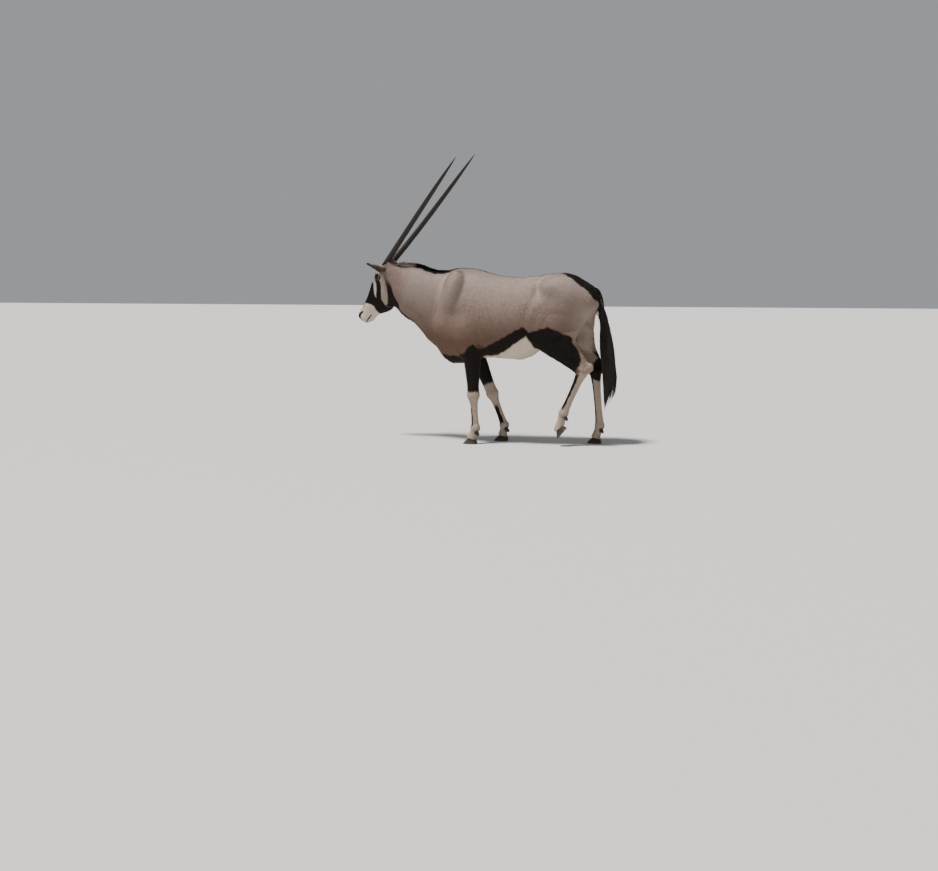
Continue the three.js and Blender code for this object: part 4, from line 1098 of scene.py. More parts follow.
def unwrap(p):
    """Each point's place on a flat chart, with trunk, legs and head rolled out side by side."""
    x, y, z = p.T
    top, bottom, _, widest = trunk_profile(x).T
    level = bottom + widest * (top - bottom)
    around = np.arctan2(y - neck_shift(x), level - z) / (2 * math.pi) + 0.5
    chart = np.stack([0.02 + 0.96 * around, 0.03 + 0.42 * (x + 950) / 1500], 1)
    q = head_local(p)
    head = x < HEAD_FROM
    turn = np.arctan2(q[:, 2], q[:, 1] - 80) / (2 * math.pi) + 0.5
    on_head = np.stack([0.02 + 0.96 * turn, 0.76 + 0.21 * (q[:, 0] + 100) / 500], 1)
    chart = np.where(head[:, None], on_head, chart)
    for kind, side, near in each_leg(p, 30, 600):
        column = list(JOINTS).index((kind, side))
        at, fore, out, _ = leg_place_of(p[near], kind, side)
        turn = np.arctan2(out, fore) / (2 * math.pi) + 0.5
        chart[near] = np.stack([0.01 + 0.25 * column + 0.225 * turn, 0.49 + 0.055 * at], 1)
    return chart


# Trees of nodes


class Value:
    """A number in a tree of nodes. Sums of it add Math nodes."""

    def __init__(self, tree, socket):
        self.tree, self.socket = tree, socket

    def maths(self, operation, *numbers):
        values = dict(enumerate(numbers))
        return self.tree.value("ShaderNodeMath", {"operation": operation}, values)

    def __add__(self, other):
        return self.maths("ADD", self, other)

    def __sub__(self, other):
        return self.maths("SUBTRACT", self, other)

    def __rsub__(self, other):
        return self.maths("SUBTRACT", other, self)

    def __mul__(self, other):
        return self.maths("MULTIPLY", self, other)

    __radd__ = __add__
    __rmul__ = __mul__


class Tree:
    """A material's or a modifier's nodes."""

    def __init__(self, tree):
        self.tree = tree

    def node(self, kind, settings=None, values=None):
        made = self.tree.nodes.new(kind)
        for key, value in (settings or {}).items():
            setattr(made, key, value)
        for key, value in (values or {}).items():
            value = value.socket if isinstance(value, Value) else value
            if isinstance(value, bpy.types.NodeSocket):
                self.tree.links.new(value, made.inputs[key])
            else:
                made.inputs[key].default_value = value
        return made

    def value(self, kind, settings=None, values=None, out=0):
        return Value(self, self.node(kind, settings, values).outputs[out])


class Paint(Tree):
    """A material that is painted by sums of noises and of the piece's own attributes."""

    def __init__(self, name, **fixed):
        self.material = bpy.data.materials.new(name)
        self.material.use_nodes = True
        super().__init__(self.material.node_tree)
        self.surface = self.tree.nodes["Principled BSDF"]
        for key, value in fixed.items():
            self.surface.inputs[key.replace("_", " ")].default_value = value
        self.place = self.node("ShaderNodeTexCoord").outputs["Object"]

    def attribute(self, name):
        return self.value("ShaderNodeAttribute", {"attribute_name": name}, out="Fac")

    def noise(self, scale, detail=3, stretch=(1, 1, 1)):
        """Noise of about 0 to 1; scale is how many waves go in a metre."""
        place = self.node("ShaderNodeMapping", {}, {"Vector": self.place, "Scale": stretch})
        values = {"Vector": place.outputs[0], "Scale": scale, "Detail": detail}
        return self.value("ShaderNodeTexNoise", {}, values, out="Fac")

    def band(self, value, low, high):
        """0 below low, 1 above high, smooth between."""
        values = {"Value": value, "From Min": low, "From Max": high}
        return self.value("ShaderNodeMapRange", {"interpolation_type": "SMOOTHSTEP"}, values)

    def mix(self, share, first, second):
        made = self.node("ShaderNodeMix", {"data_type": "RGBA"}, {"Factor": share})
        for socket, colour in ((made.inputs[6], first), (made.inputs[7], second)):
            if isinstance(colour, bpy.types.NodeSocket):
                self.tree.links.new(colour, socket)
            else:
                socket.default_value = (*colour, 1)
        return made.outputs[2]

    def shade(self, colour, value):
        """A colour made lighter or darker by a number."""
        made = self.node("ShaderNodeVectorMath", {"operation": "SCALE"}, {0: colour, "Scale": value})
        return made.outputs[0]

    def finish(self, **links):
        for key, value in links.items():
            value = value.socket if isinstance(value, Value) else value
            self.tree.links.new(value, self.surface.inputs[key.replace("_", " ")])
        return self.material

    def bump(self, height, reach, strength=1.0):
        values = {"Height": height, "Distance": reach, "Strength": strength}
        return self.node("ShaderNodeBump", {}, values).outputs[0]


# The top's grey is lightened and the lower coat's brown darkened, so between them they also carry
# painted highlight above and painted shade below.
GREY_COAT = (0.335, 0.268, 0.236)
BROWN_COAT = (0.150, 0.086, 0.062)
WHITE_COAT = (0.64, 0.535, 0.43)
BLACK_COAT = (0.0075, 0.0042, 0.0032)
BARE_SKIN = (0.022, 0.018, 0.018)


def coat_colour(paint):
    """The colour that skin and hair share."""
    cloud = paint.noise(9, 4)
    fine = paint.noise(190, 2, (0.35, 1, 0.6))
    ground = paint.mix(paint.attribute("warm") + (cloud - 0.5) * 0.25, GREY_COAT, BROWN_COAT)
    ground = paint.mix(paint.attribute("white"), ground, WHITE_COAT)
    ground = paint.mix(paint.attribute("black"), ground, BLACK_COAT)
    ground = paint.mix(paint.attribute("bare"), ground, BARE_SKIN)
    return paint.shade(ground, 0.86 + 0.16 * cloud + 0.14 * fine)


def skin_material():
    paint = Paint("skin", Roughness=0.8, Specular_IOR_Level=0.12)
    strands = paint.noise(420, 2, (0.3, 1, 0.6)) + paint.noise(120, 3) * 0.5
    colour = paint.shade(coat_colour(paint), 0.86)
    return paint.finish(Base_Color=colour, Normal=paint.bump(strands, 0.0012, 0.6))


def hair_material():
    paint = Paint("hair", Roughness=0.62, Specular_IOR_Level=0.2)
    tone = 0.84 + 0.3 * paint.attribute("tint")
    return paint.finish(Base_Color=paint.shade(coat_colour(paint), tone))


# Short coat: flat pointed tufts set on the skin along the lie of the hair

TUFT_SIDES = [(0, 1, 3), (0, 3, 2), (0, 2, 1), (3, 1, 2)]
TUFT_SHAPE = [(0, 0, -0.05), (0.36, -0.5, -0.02), (0.36, 0.5, -0.02), (1, 0, 0.1)]
TUFT_POINTS = len(TUFT_SHAPE)
COAT_DISORDER = 0.17
COAT_LIFT = 0.07


def tuft_object(material):
    """One tuft of unit length, lying along X: a closed sliver, widest before its middle."""
    mesh = bpy.data.meshes.new("tuft")
    mesh.from_pydata(TUFT_SHAPE, [], TUFT_SIDES)
    mesh.materials.append(material)
    return bpy.data.objects.new("tuft", mesh)


def coat_tree(tuft):
    """Sets tufts on a skin: each place's attributes give their number, length, width and lie."""
    group = bpy.data.node_groups.new("coat", "GeometryNodeTree")
    tree = Tree(group)
    face = group.interface
    face.new_socket("Skin", in_out="INPUT", socket_type="NodeSocketGeometry")
    for name, kind, value in (
        ("Tufts per square metre", "NodeSocketFloat", 40000.0),
        ("Disorder", "NodeSocketFloat", COAT_DISORDER),
        ("Lift", "NodeSocketFloat", COAT_LIFT),
        ("Seed", "NodeSocketInt", 4),
    ):
        face.new_socket(name, in_out="INPUT", socket_type=kind).default_value = value
    face.new_socket("Coat", in_out="OUTPUT", socket_type="NodeSocketGeometry")
    given = tree.node("NodeGroupInput").outputs

    def named(name, kind="FLOAT"):
        read = tree.node("GeometryNodeInputNamedAttribute", {"data_type": kind}, {"Name": name})
        return read.outputs["Attribute"]

    density = Value(tree, named("share")) * Value(tree, given["Tufts per square metre"])
    points = tree.node(
        "GeometryNodeDistributePointsOnFaces",
        {},
        {"Mesh": given["Skin"], "Density": density, "Seed": given["Seed"]},
    )

    def chance(low, high, seed, kind="FLOAT"):
        made = tree.node("FunctionNodeRandomValue", {"data_type": kind})
        pair = (0, 1) if kind == "FLOAT_VECTOR" else (2, 3)
        made.inputs[pair[0]].default_value = low
        made.inputs[pair[1]].default_value = high
        made.inputs["Seed"].default_value = seed
        return made.outputs[0 if kind == "FLOAT_VECTOR" else 1]

    def vector(operation, first, second, scale=None):
        values = {0: first} if second is None else {0: first, 1: second}
        if scale is not None:
            values["Scale"] = scale
        return tree.node("ShaderNodeVectorMath", {"operation": operation}, values).outputs[0]

    stray = chance((-1, -1, -1), (1, 1, 1), 11, "FLOAT_VECTOR")
    stray = vector("SCALE", stray, None, given["Disorder"])
    raised = vector("SCALE", named("out", "FLOAT_VECTOR"), None, given["Lift"])
    way = vector("ADD", vector("ADD", named("lie", "FLOAT_VECTOR"), raised), stray)
    turn = tree.node(
        "FunctionNodeAxesToRotation",
        {"primary_axis": "X", "secondary_axis": "Z"},
        {"Primary Axis": way, "Secondary Axis": named("out", "FLOAT_VECTOR")},
    )
    size = Value(tree, chance(0.7, 1.25, 5))
    long = Value(tree, named("long")) * size
    wide = Value(tree, named("wide")) * size
    scale = tree.node("ShaderNodeCombineXYZ", {}, {0: long, 1: wide, 2: long})
    whole = tree.node("GeometryNodeObjectInfo", {}, {"Object": tuft})
    placed = tree.node(
        "GeometryNodeInstanceOnPoints",
        {},
        {
            "Points": points.outputs["Points"],
            "Instance": whole.outputs["Geometry"],
            "Rotation": turn.outputs[0],
            "Scale": scale.outputs[0],
        },
    )
    real = tree.node("GeometryNodeRealizeInstances", {}, {0: placed.outputs[0]})
    paint = tree.node(
        "GeometryNodeSetMaterial", {}, {0: real.outputs[0], "Material": tuft.data.materials[0]}
    )
    tree.node("NodeGroupOutput", {}, {0: paint.outputs[0]})
    return group


def set_inputs(modifier, group, values):
    for item in group.interface.items_tree:
        if item.item_type == "SOCKET" and item.in_out == "INPUT" and item.name in values:
            modifier[item.identifier] = values[item.name]


def bake_places(mesh, roots, count, chart=None):
    """The map for baking: every tuft is a small patch at its root's place on the skin's chart."""
    chart = unwrap(roots) if chart is None else chart
    layer = mesh.uv_layers.new(name="OFBake")
    corner = np.empty(len(mesh.loops), np.int32)
    mesh.loops.foreach_get("vertex_index", corner)
    which, within = corner // count, corner % count
    side = 0.003 * np.stack([within / (count - 1) - 0.5, (within % 2) - 0.5], 1)
    layer.data.foreach_set("uv", (chart[which] + side).astype(np.float32).ravel())


def dress(mesh, roots, tips, count, tint):
    """Gives a coat its markings, read where each tuft shows, and its bake map."""
    values = markings(roots * 0.55 + tips * 0.45)
    for key in values:
        write_values(mesh, key, np.repeat(values[key], count))
    write_values(mesh, "tint", tint)
    bake_places(mesh, roots, count)


def short_coat(name, v, f, normal, keep, density, group, seed):
    """Grows tufts on the faces of the skin that keep names."""
    used, f = np.unique(f[keep], return_inverse=True)
    f = f.reshape(-1, 3)
    v, normal = v[used], normal[used]
    length = coat_length(v)
    share = np.clip(15.0 / length, 0.7, 2.8) ** 1.6
    share = np.where(markings(v)["bare"] > 0.4, 0, share)
    mesh = bpy.data.meshes.new("bed")
    mesh.from_pydata(v * MM, [], f.tolist())
    for key, kind, values in (
        ("share", "FLOAT", share),
        ("long", "FLOAT", length * MM),
        ("wide", "FLOAT", (1.1 + 0.18 * length) * MM),
        ("lie", "FLOAT_VECTOR", coat_lie(v, normal)),
        ("out", "FLOAT_VECTOR", normal),
    ):
        write_values(mesh, key, values, kind)
    bed = add_object("bed", mesh)
    modifier = bed.modifiers.new("coat", "NODES")
    modifier.node_group = group
    given = {"Tufts per square metre": density, "Seed": seed}
    given.update({"Disorder": COAT_DISORDER, "Lift": COAT_LIFT})
    set_inputs(modifier, group, given)
    ready = bed.evaluated_get(bpy.context.evaluated_depsgraph_get())
    coat = bpy.data.meshes.new_from_object(ready)
    bed.modifiers.clear()
    bpy.data.objects.remove(bed)
    coat.name = name
    points = np.empty(len(coat.vertices) * 3, np.float32)
    coat.vertices.foreach_get("co", points)
    points = points.reshape(-1, 3).astype(float) / MM
    roots, tips = points[::TUFT_POINTS], points[TUFT_POINTS - 1 :: TUFT_POINTS]
    shading = np.empty(len(points) * 3, np.float32)
    coat.attributes["out"].data.foreach_get("vector", shading)
    for key in ("share", "long", "wide", "lie", "out"):
        coat.attributes.remove(coat.attributes[key])
    tint = np.repeat(rng.random(len(roots)) * 0.8, TUFT_POINTS)
    tint[TUFT_POINTS - 1 :: TUFT_POINTS] += 0.35
    dress(coat, roots, tips, TUFT_POINTS, tint)
    coat.vertices.foreach_set("co", ((points + PLACE) * MM).astype(np.float32).ravel())
    coat.polygons.foreach_set("use_smooth", np.ones(len(coat.polygons), bool))
    # Hair is lit mostly as the skin below it, so the coat looks soft.
    coat.normals_split_custom_set_from_vertices(unit(shading.reshape(-1, 3)).tolist())
    add_piece(name, coat)


# Shapes from rings and strands


def loft(rings, ends=(True, True)):
    """Triangles over rings of points, the ends closed by fans, facing outwards."""
    rings = np.asarray(rings, float)
    count, around = rings.shape[:2]
    v = [rings.reshape(-1, 3)]
    i, j = np.meshgrid(np.arange(count - 1), np.arange(around), indexing="ij")
    a, b = (i * around + j).ravel(), (i * around + (j + 1) % around).ravel()
    c, d = a + around, b + around
    f = [np.stack([a, b, d], 1), np.stack([a, d, c], 1)]
    ring = np.arange(around)
    total = count * around
    if ends[0]:
        v.append(rings[:1].mean(1))
        f.append(np.stack([np.roll(ring, -1), ring, np.full(around, total)], 1))
        total += 1
    if ends[1]:
        v.append(rings[-1:].mean(1))
        last = ring + (count - 1) * around
        f.append(np.stack([last, np.roll(last, -1), np.full(around, total)], 1))
    v, f = np.vstack(v), np.vstack(f)
    volume = np.einsum("ij,ij->", v[f[:, 0]], np.cross(v[f[:, 1]], v[f[:, 2]]))
    return v, f if volume > 0 else f[:, ::-1]


def curve(points, count, closed=False):
    """Points along a smooth curve through a few."""
    points = np.array(points, float)
    n = len(points)
    if closed:
        t = np.arange(count) * n / count
        index = [np.mod(np.floor(t).astype(int) + k, n) for k in (-1, 0, 1, 2)]
    else:
        t = np.linspace(0, n - 1 - 1e-9, count)
        index = [np.clip(np.floor(t).astype(int) + k, 0, n - 1) for k in (-1, 0, 1, 2)]
    f = (t - np.floor(t))[:, None]
    p, q, r, s = (points[k] for k in index)
    bend = (2 * p - 5 * q + 4 * r - s) * f * f + (3 * q - p - 3 * r + s) * f**3
    return q + 0.5 * ((r - p) * f + bend)


def strands(paths, radii, flat=0.6):
    """Hairs and locks: each a closed rod of three sides that ends in a point."""
    n, steps = paths.shape[:2]
    way = unit(np.gradient(paths, axis=1))
    hint = rng.normal(size=(n, 1, 3))
    side = unit(hint - (hint * way).sum(-1, keepdims=True) * way)
    over = np.cross(way, side)
    rings = []
    for k in range(3):
        turn = 2 * math.pi * k / 3
        offset = math.cos(turn) * side + flat * math.sin(turn) * over
        rings.append(paths + offset * radii[..., None])
    body = np.stack(rings, 2)[:, :-1].reshape(n, -1, 3)
    v = np.concatenate([body, paths[:, -1:]], 1)
    each = v.shape[1]
    i, j = np.meshgrid(np.arange(steps - 2), np.arange(3), indexing="ij")
    a, b = (i * 3 + j).ravel(), (i * 3 + (j + 1) % 3).ravel()
    base = [np.stack([a, b, b + 3], 1), np.stack([a, b + 3, a + 3], 1)]
    last = (steps - 2) * 3
    tip = [[last + k, last + (k + 1) % 3, each - 1] for k in range(3)]
    base = np.vstack([*base, tip, [[2, 1, 0]]])
    f = (base[None] + each * np.arange(n)[:, None, None]).reshape(-1, 3)
    return v.reshape(-1, 3), f, each


def even_marks(count, **shares):
    """The same markings for all of a piece."""
    return {key: np.full(count, float(share)) for key, share in shares.items()}


def put_strands(name, paths, radii, material, roots=None, chart=None, marks=None, flat=0.6):
    """A coat piece of long hairs, with markings from their roots and a bake map."""
    v, f, each = strands(paths, radii, flat)
    roots = paths[:, 0] if roots is None else roots
    marks = markings(roots) if marks is None else marks
    attributes = {key: np.repeat(value, each) for key, value in marks.items()}
    along = np.append(np.repeat(np.linspace(0, 1, paths.shape[1])[:-1], 3), 1)
    tint = np.repeat(rng.random(len(roots)) * 0.7, each) + 0.4 * np.tile(along, len(roots))
    attributes["tint"] = tint
    piece = put_mesh(name, v, f, material, attributes)
    bake_places(piece.data, roots, each, chart)


# Horns


def horn_point(t, out):
    a, b, l = HORN_BASE
    back, up = HORN_REACH[out]
    rate = HORN_SPREAD_RATE[out]
    spread = HORN_SPREAD * (1 - np.exp(-rate * t)) / (1 - math.exp(-rate))
    t = np.asarray(t, float)[..., None]
    spread = np.asarray(spread, float)[..., None]
    return (
        head_point([a, b, out * l]) - ahead * back * t + upward * up * t
        + head_left * out * spread
    )


def horn_mesh(out):
    count, around = 460, 36
    t = np.concatenate([[-0.035], np.linspace(0, 0.992, count), [0.998]])
    centre = horn_point(t, out)
    way = unit(horn_point(t + 0.01, out) - horn_point(t - 0.01, out))
    across = unit(np.cross(way, ahead))
    over = np.cross(across, way)
    turn = np.arange(around) * 2 * math.pi / around
    t = t[:, None]
    radius = HORN_RADIUS * line(HORN_TAPER, t)
    lean = 0.12 * np.cos(turn)[None] + 0.05 * np.sin(2 * turn + out)[None]
    phase = t / HORN_RINGED_SHARE * HORN_RINGS + lean
    tooth = phase % 1
    ridge = smooth(0, 0.35, tooth) * smooth(1, 0.45, tooth)
    worn = 0.75 + 0.25 * np.sin(phase.astype(int) * 7.3)
    fade = smooth(1.04, 0.55, t / HORN_RINGED_SHARE) * smooth(-0.01, 0.015, t)
    ridge = ridge * fade * worn
    furrow = np.sin(9 * turn + 3)[None] * 0.16 + np.sin(17 * turn)[None] * 0.08
    radius = radius * (1 + 0.02 * np.sin(2 * turn))[None] + 1.9 * ridge - 0.9 * fade
    radius = radius + furrow * (1 - 0.6 * ridge)
    rings = centre[:, None] + radius[..., None] * (
        across[:, None] * np.cos(turn)[None, :, None] + over[:, None] * np.sin(turn)[None, :, None]
    )
    v, f = loft(rings)
    share = np.broadcast_to(t, radius.shape)
    marks = {"ridge": ridge.ravel(), "along": share.ravel()}
    return v, f, {key: np.append(value, [value[0], value[-1]]) for key, value in marks.items()}


def horn_material():
    paint = Paint("horn", Roughness=0.5, Specular_IOR_Level=0.38)
    grain = paint.noise(60, 4, (6, 6, 0.7))
    ridge = paint.attribute("ridge")
    tip = paint.band(paint.attribute("along"), 0.35, 0.9)
    colour = paint.mix(grain, (0.005, 0.0034, 0.0026), (0.017, 0.011, 0.008))
    colour = paint.mix(ridge * 0.25, colour, (0.034, 0.024, 0.018))
    colour = paint.mix(tip * 0.6, colour, (0.005, 0.004, 0.0035))
    rough = 0.56 - 0.2 * tip + 0.12 * grain
    fibres = paint.noise(220, 3, (5, 5, 0.5)) + grain * 0.5
    return paint.finish(Base_Color=colour, Roughness=rough, Normal=paint.bump(fibres, 0.0009, 0.6))


# Hooves and dewclaws

CLAW_OUTLINE = [(1, -0.4), (0.88, 0.16), (0.6, 0.62), (0.2, 0.92), (-0.3, 1), (-0.76, 0.8)]
CLAW_OUTLINE += [(-1, 0.2), (-0.94, -0.5), (-0.5, -0.82), (0.1, -0.84), (0.66, -0.8), (0.93, -0.66)]
CLAW_HALF_WIDTH = 18.5
CLAW_SPREAD = 19
SOLE_TOE = 60
SOLE_HEEL = 38
CORONET_HALF_DEPTH = 31
# Along a dewclaw and its radius there.
DEWCLAW_OUTLINE = [(-12, 9), (-4, 10.6), (8, 11.5), (20, 10.4), (29, 6.8), (33.6, 2.2)]


def mix(a, b, t):
    return a + (b - a) * t


def claw_mesh(kind, side, out):
    sole, toe, up = foot_frame(kind, side)
    across = np.array([0.0, 1.0, 0.0])
    outline = curve(CLAW_OUTLINE, 60, closed=True)
    u, v = outline.T
    rings, share = [], []

    def ring(t, inset, raise_by):
        front, heel = mix(16, SOLE_TOE, max(t, 0) ** 0.9), mix(CORONET_HALF_DEPTH, SOLE_HEEL, t)
        half = mix(CLAW_HALF_WIDTH - 3, CLAW_HALF_WIDTH, t)
        growth = 0.35 * math.sin(t * 40) * (1 - t)
        swell = 1.2 * math.exp(-(((t - 0.1) / 0.1) ** 2)) + growth - inset
        pu = u * (np.where(u > 0, front, heel) + swell)
        pv = out * (mix(CLAW_SPREAD - 3, CLAW_SPREAD, t) + v * (half + swell))
        top = CORONET_HEIGHT - 1 + pu * math.tan(CORONET_SLOPE)
        height = top * (1 - t) + raise_by
        rings.append(sole + pu[:, None] * toe + pv[:, None] * across + height[:, None] * up)
        share.append(np.full(60, t))

    for t in np.linspace(0, 0.97, 22):
        ring(t, 0, 0)
    ring(1, 0.6, 0.0)
    ring(1, 3.0, 0.0)
    ring(1, 5.0, 1.6)
    ring(1, 9.0, 2.2)
    verts, faces = loft(rings)
    share = np.concatenate(share)
    return verts, faces, {"along": np.append(share, [0, 1])}


def dewclaw_mesh(kind, side, out):
    fetlock, coronet = JOINTS[kind, side][-2:]
    across = np.array([0.0, 1.0, 0.0])
    down = unit(coronet - fetlock)
    back = np.cross(down, across)
    root = fetlock + back * 17 + down * 20 + across * out * 13
    axis = unit(back * 0.7 + down * 0.7 + across * out * 0.2)
    cross = unit(np.cross(axis, across))
    turn = np.arange(28) * 2 * math.pi / 28
    section = across * np.cos(turn)[:, None] + cross * 0.75 * np.sin(turn)[:, None]
    rings, share = [], []
    for at, radius in curve(DEWCLAW_OUTLINE, 22):
        radius = radius + 0.25 * math.sin(at * 1.3)
        rings.append(root + axis * at + radius * section)
        share.append(np.full(28, (at + 12) / 46))
    verts, faces = loft(rings)
    share = np.concatenate(share)
    return verts, faces, {"along": np.append(share, [0, 1])}


def hoof_material():
    paint = Paint("hoof", Roughness=0.6, Specular_IOR_Level=0.4)
    grain = paint.noise(45, 4, (1, 1, 0.5))
    fibres = paint.noise(420, 3, (3, 3, 0.35))
    low = paint.band(paint.attribute("along"), 0.35, 1.0)
    colour = paint.mix(grain, (0.012, 0.008, 0.006), (0.040, 0.027, 0.020))
    colour = paint.mix(low * 0.4, colour, (0.080, 0.060, 0.046))
    rough = 0.5 + 0.2 * grain + 0.1 * low
    return paint.finish(Base_Color=colour, Roughness=rough, Normal=paint.bump(fibres, 0.0006, 0.5))


# Eyes

IRIS_RADIUS = 14.0
PUPIL = (8.5, 4.6)
CORNEA_RISE = 1.5


def eye_mesh(out):
    rows, around = 72, 72
    polar = np.linspace(0, math.pi, rows)[1:-1]
    turn = np.arange(around) * 2 * math.pi / around
    rings, marks = [], {"iris": [], "pupil": [], "spoke": []}
    for angle in polar:
        bulge = EYE_RADIUS + CORNEA_RISE * float(smooth(0.85, 0.2, np.array(angle)))
        u = bulge * math.sin(angle) * np.cos(turn)
        v = bulge * math.sin(angle) * np.sin(turn)
        w = np.full(around, bulge * math.cos(angle))
        rings.append(eye_point(u, v, w, out))
        front = w > 0
        reach = np.hypot(u, v)
        marks["iris"].append(smooth(IRIS_RADIUS + 0.8, IRIS_RADIUS - 0.8, reach) * front)
        marks["pupil"].append(smooth(1.08, 0.92, np.hypot(u / PUPIL[0], v / PUPIL[1])) * front)
        marks["spoke"].append(0.5 + 0.5 * np.sin(turn * 31) * np.sin(turn * 17 + 1))
    verts, faces = loft(rings)
    ends = {"iris": [1, 0], "pupil": [1, 0], "spoke": [0.5, 0.5]}
    return verts, faces, {k: np.append(np.concatenate(m), ends[k]) for k, m in marks.items()}


def eye_material():
    paint = Paint("eye", Roughness=0.2, Specular_IOR_Level=0.2, Coat_Weight=0.6, Coat_Roughness=0.02)
    iris = paint.mix(paint.attribute("spoke"), (0.010, 0.0045, 0.0025), (0.022, 0.010, 0.005))
    colour = paint.mix(paint.attribute("iris"), (0.028, 0.017, 0.012), iris)
    colour = paint.mix(paint.attribute("pupil"), colour, (0.002, 0.002, 0.003))
    return paint.finish(Base_Color=colour)


# Ears

# Share of the ear's length, half width, half the angle that the leaf curls round.
EAR_ROWS = [
    [-0.1, 17, 2.47],
    [0, 18, 2.375],
    [0.15, 23, 2.09],
    [0.34, 28, 1.482],
    [0.56, 22, 1.064],
    [0.78, 11.5, 0.855],
    [0.94, 4.6, 0.57],
    [1.0, 0.6, 0.57],
]
ear_profile = profile(EAR_ROWS)
EAR_THICK = 3.2


def ear_frame(out):
    base = head_point([EAR_AT[0], EAR_AT[1], out * EAR_AT[2]])
    sideways = head_left * out
    level = ahead * math.cos(EAR_FORWARD) + sideways * math.sin(EAR_FORWARD)
    way = unit(level * math.cos(EAR_RISE) + upward * math.sin(EAR_RISE))
    opened = unit(np.cross(way, upward)) * out
    if opened @ ahead < 0:
        opened = -opened
    turn = out * EAR_ROLL
    opened = (
        opened * math.cos(turn) + np.cross(way, opened) * math.sin(turn)
        + way * (way @ opened) * (1 - math.cos(turn))
    )
    return base, way, opened, unit(np.cross(way, opened))


def ear_points(out, t, k, inward):
    """Points on the leaf of the ear: t to the tip, k from edge -1 to edge 1, inward in millimetres."""
    base, way, opened, edge = ear_frame(out)
    half, curl = ear_profile(t).T
    angle = k * curl
    reach = half / np.maximum(np.sin(np.minimum(curl, math.pi / 2)), 0.2)
    near = reach - inward
    tall = EAR_LENGTH * t
    return (
        base + way * tall[:, None] + edge * (near * np.sin(angle))[:, None]
        + opened * (reach * 0.72 - near * np.cos(angle))[:, None]
    )


def ear_mesh(out):
    rows, across = 56, 24
    t = 1 - (1 - np.linspace(0, 1, rows)) ** 1.15
    t = -0.08 + t * 1.075
    rings, marks = [], {"rim": [], "inner": [], "along": []}
    k = np.linspace(-1, 1, across)
    for at in t:
        line_t = np.full(across, at)
        thin = EAR_THICK if at > 0.2 else mix(8, EAR_THICK, max(at, 0) / 0.2)
        thin = thin * min(1, (1.0 - at) * 8 + 0.1)
        wave = 1.0 * np.sin(at * 17 + k * 2)
        outer = ear_points(out, line_t, k, wave * 0.5)
        inner = ear_points(out, line_t, k[::-1] * 0.985, thin + 0.9 * np.sin(k * 11) * (at < 0.7))
        rings.append(np.vstack([outer, inner]))
        marks["rim"].append(np.concatenate([k, k[::-1]]))
        marks["inner"].append(np.repeat([0.0, 1.0], across))
        marks["along"].append(np.full(2 * across, at))
    v, f = loft(rings)
    ends = {"rim": [0, 1], "inner": [0, 0], "along": [-0.08, 1]}
    return v, f, {key: np.append(np.concatenate(m), ends[key]) for key, m in marks.items()}


def ear_marks(t, k, inner, out):
    """Grey outside with painted shade on its downward half, white hair inside, dark rim and tip."""
    low = -k * np.sign(ear_frame(out)[3][2])
    rim = smooth(0.8, 0.97, np.abs(k)) * smooth(0.1, 0.3, t)
    tip = smooth(0.72, 0.9, t)
    # Painted shade: the back of the leaf darkens on whichever side faces down.
    shade = 0.72 * smooth(-0.25, 0.35, low) * (1 - inner) * smooth(-0.05, 0.12, t)
    black = np.maximum(np.maximum(rim * (1 - 0.5 * inner), tip), shade)
    white = np.where(inner > 0.5, 0.75, 0.4 * smooth(0.1, 0.5, t))
    warm = np.full(len(t), 0.25)
    return {"black": black, "white": white * (1 - black), "warm": warm, "bare": 0 * warm}


# Hair of the ear: its part, how many, how far inside the leaf it roots, lengths, radius.
EAR_HAIR = [
    ("back", 2600, 0.2, (6, 9), 0.62),
    ("fringe", 600, 1.5, (7, 12), 0.5),
    ("cup", 600, 3.2, (12, 24), 0.45),
]


def ear_hair(out, name, material):
    """Short hair on the back of the ear, a fringe on its rim and long pale hair in its cup."""
    _, way, opened, edge = ear_frame(out)
    for part, count, inward, lengths, radius in EAR_HAIR:
        t = -0.07 + 1.03 * rng.random(count) ** 0.9
        if part == "back":
            k = rng.uniform(-1, 1, count)
        elif part == "fringe":
            k = rng.choice([-1.0, 1.0], count)
        else:
            t = rng.random(count) * 0.75
            k = rng.uniform(-0.95, 0.95, count)
        long = rng.uniform(*lengths, count)
        half, curl = ear_profile(t).T
        root = ear_points(out, t, k, inward)
        angle = k * curl
        normal = edge * np.sin(angle)[:, None] - opened * np.cos(angle)[:, None]
        if part == "back":
            turn = way + 0.12 * normal
        elif part == "fringe":
            turn = way * 0.9 + opened * 0.32 + edge * (0.15 * np.sign(k))[:, None]
        else:
            turn = way * 0.6 + opened * 0.35 - edge * (k * 0.55)[:, None]
        turn = unit(turn + rng.normal(scale=0.1, size=(count, 3)))
        long = long * (0.45 + 0.55 * smooth(2, 16, half))
        steps = np.linspace(0, 1, 4)[None, :, None]
        sag = -0.08 * long[:, None, None] * steps**2 * (way if part == "back" else -way)
        paths = root[:, None] + turn[:, None] * long[:, None, None] * steps + sag
        radii = radius * np.array([0.9, 1.0, 0.7, 0.2]) * np.ones((count, 1))
        marks = ear_marks(t, k, np.full(count, 0.0 if part == "back" else 1.0), out)
        if part == "fringe":
            marks["black"] = np.maximum(marks["black"], 0.75 * smooth(0.25, 0.5, t))
            marks["white"] = marks["white"] * (1 - marks["black"])
        chart = np.stack([0.02 + 0.47 * (out > 0) + 0.22 * (k + 1), 0.722 + 0.03 * t], 1)
        put_strands(f"{name}_{part}", paths, radii, material, root, chart, marks, 0.45)


# Tail

DOCK = [(462, 1036), (512, 1042), (542, 988), (556, 910), (568, 820), (580, 720)]
DOCK_RADIUS = (24, 10)
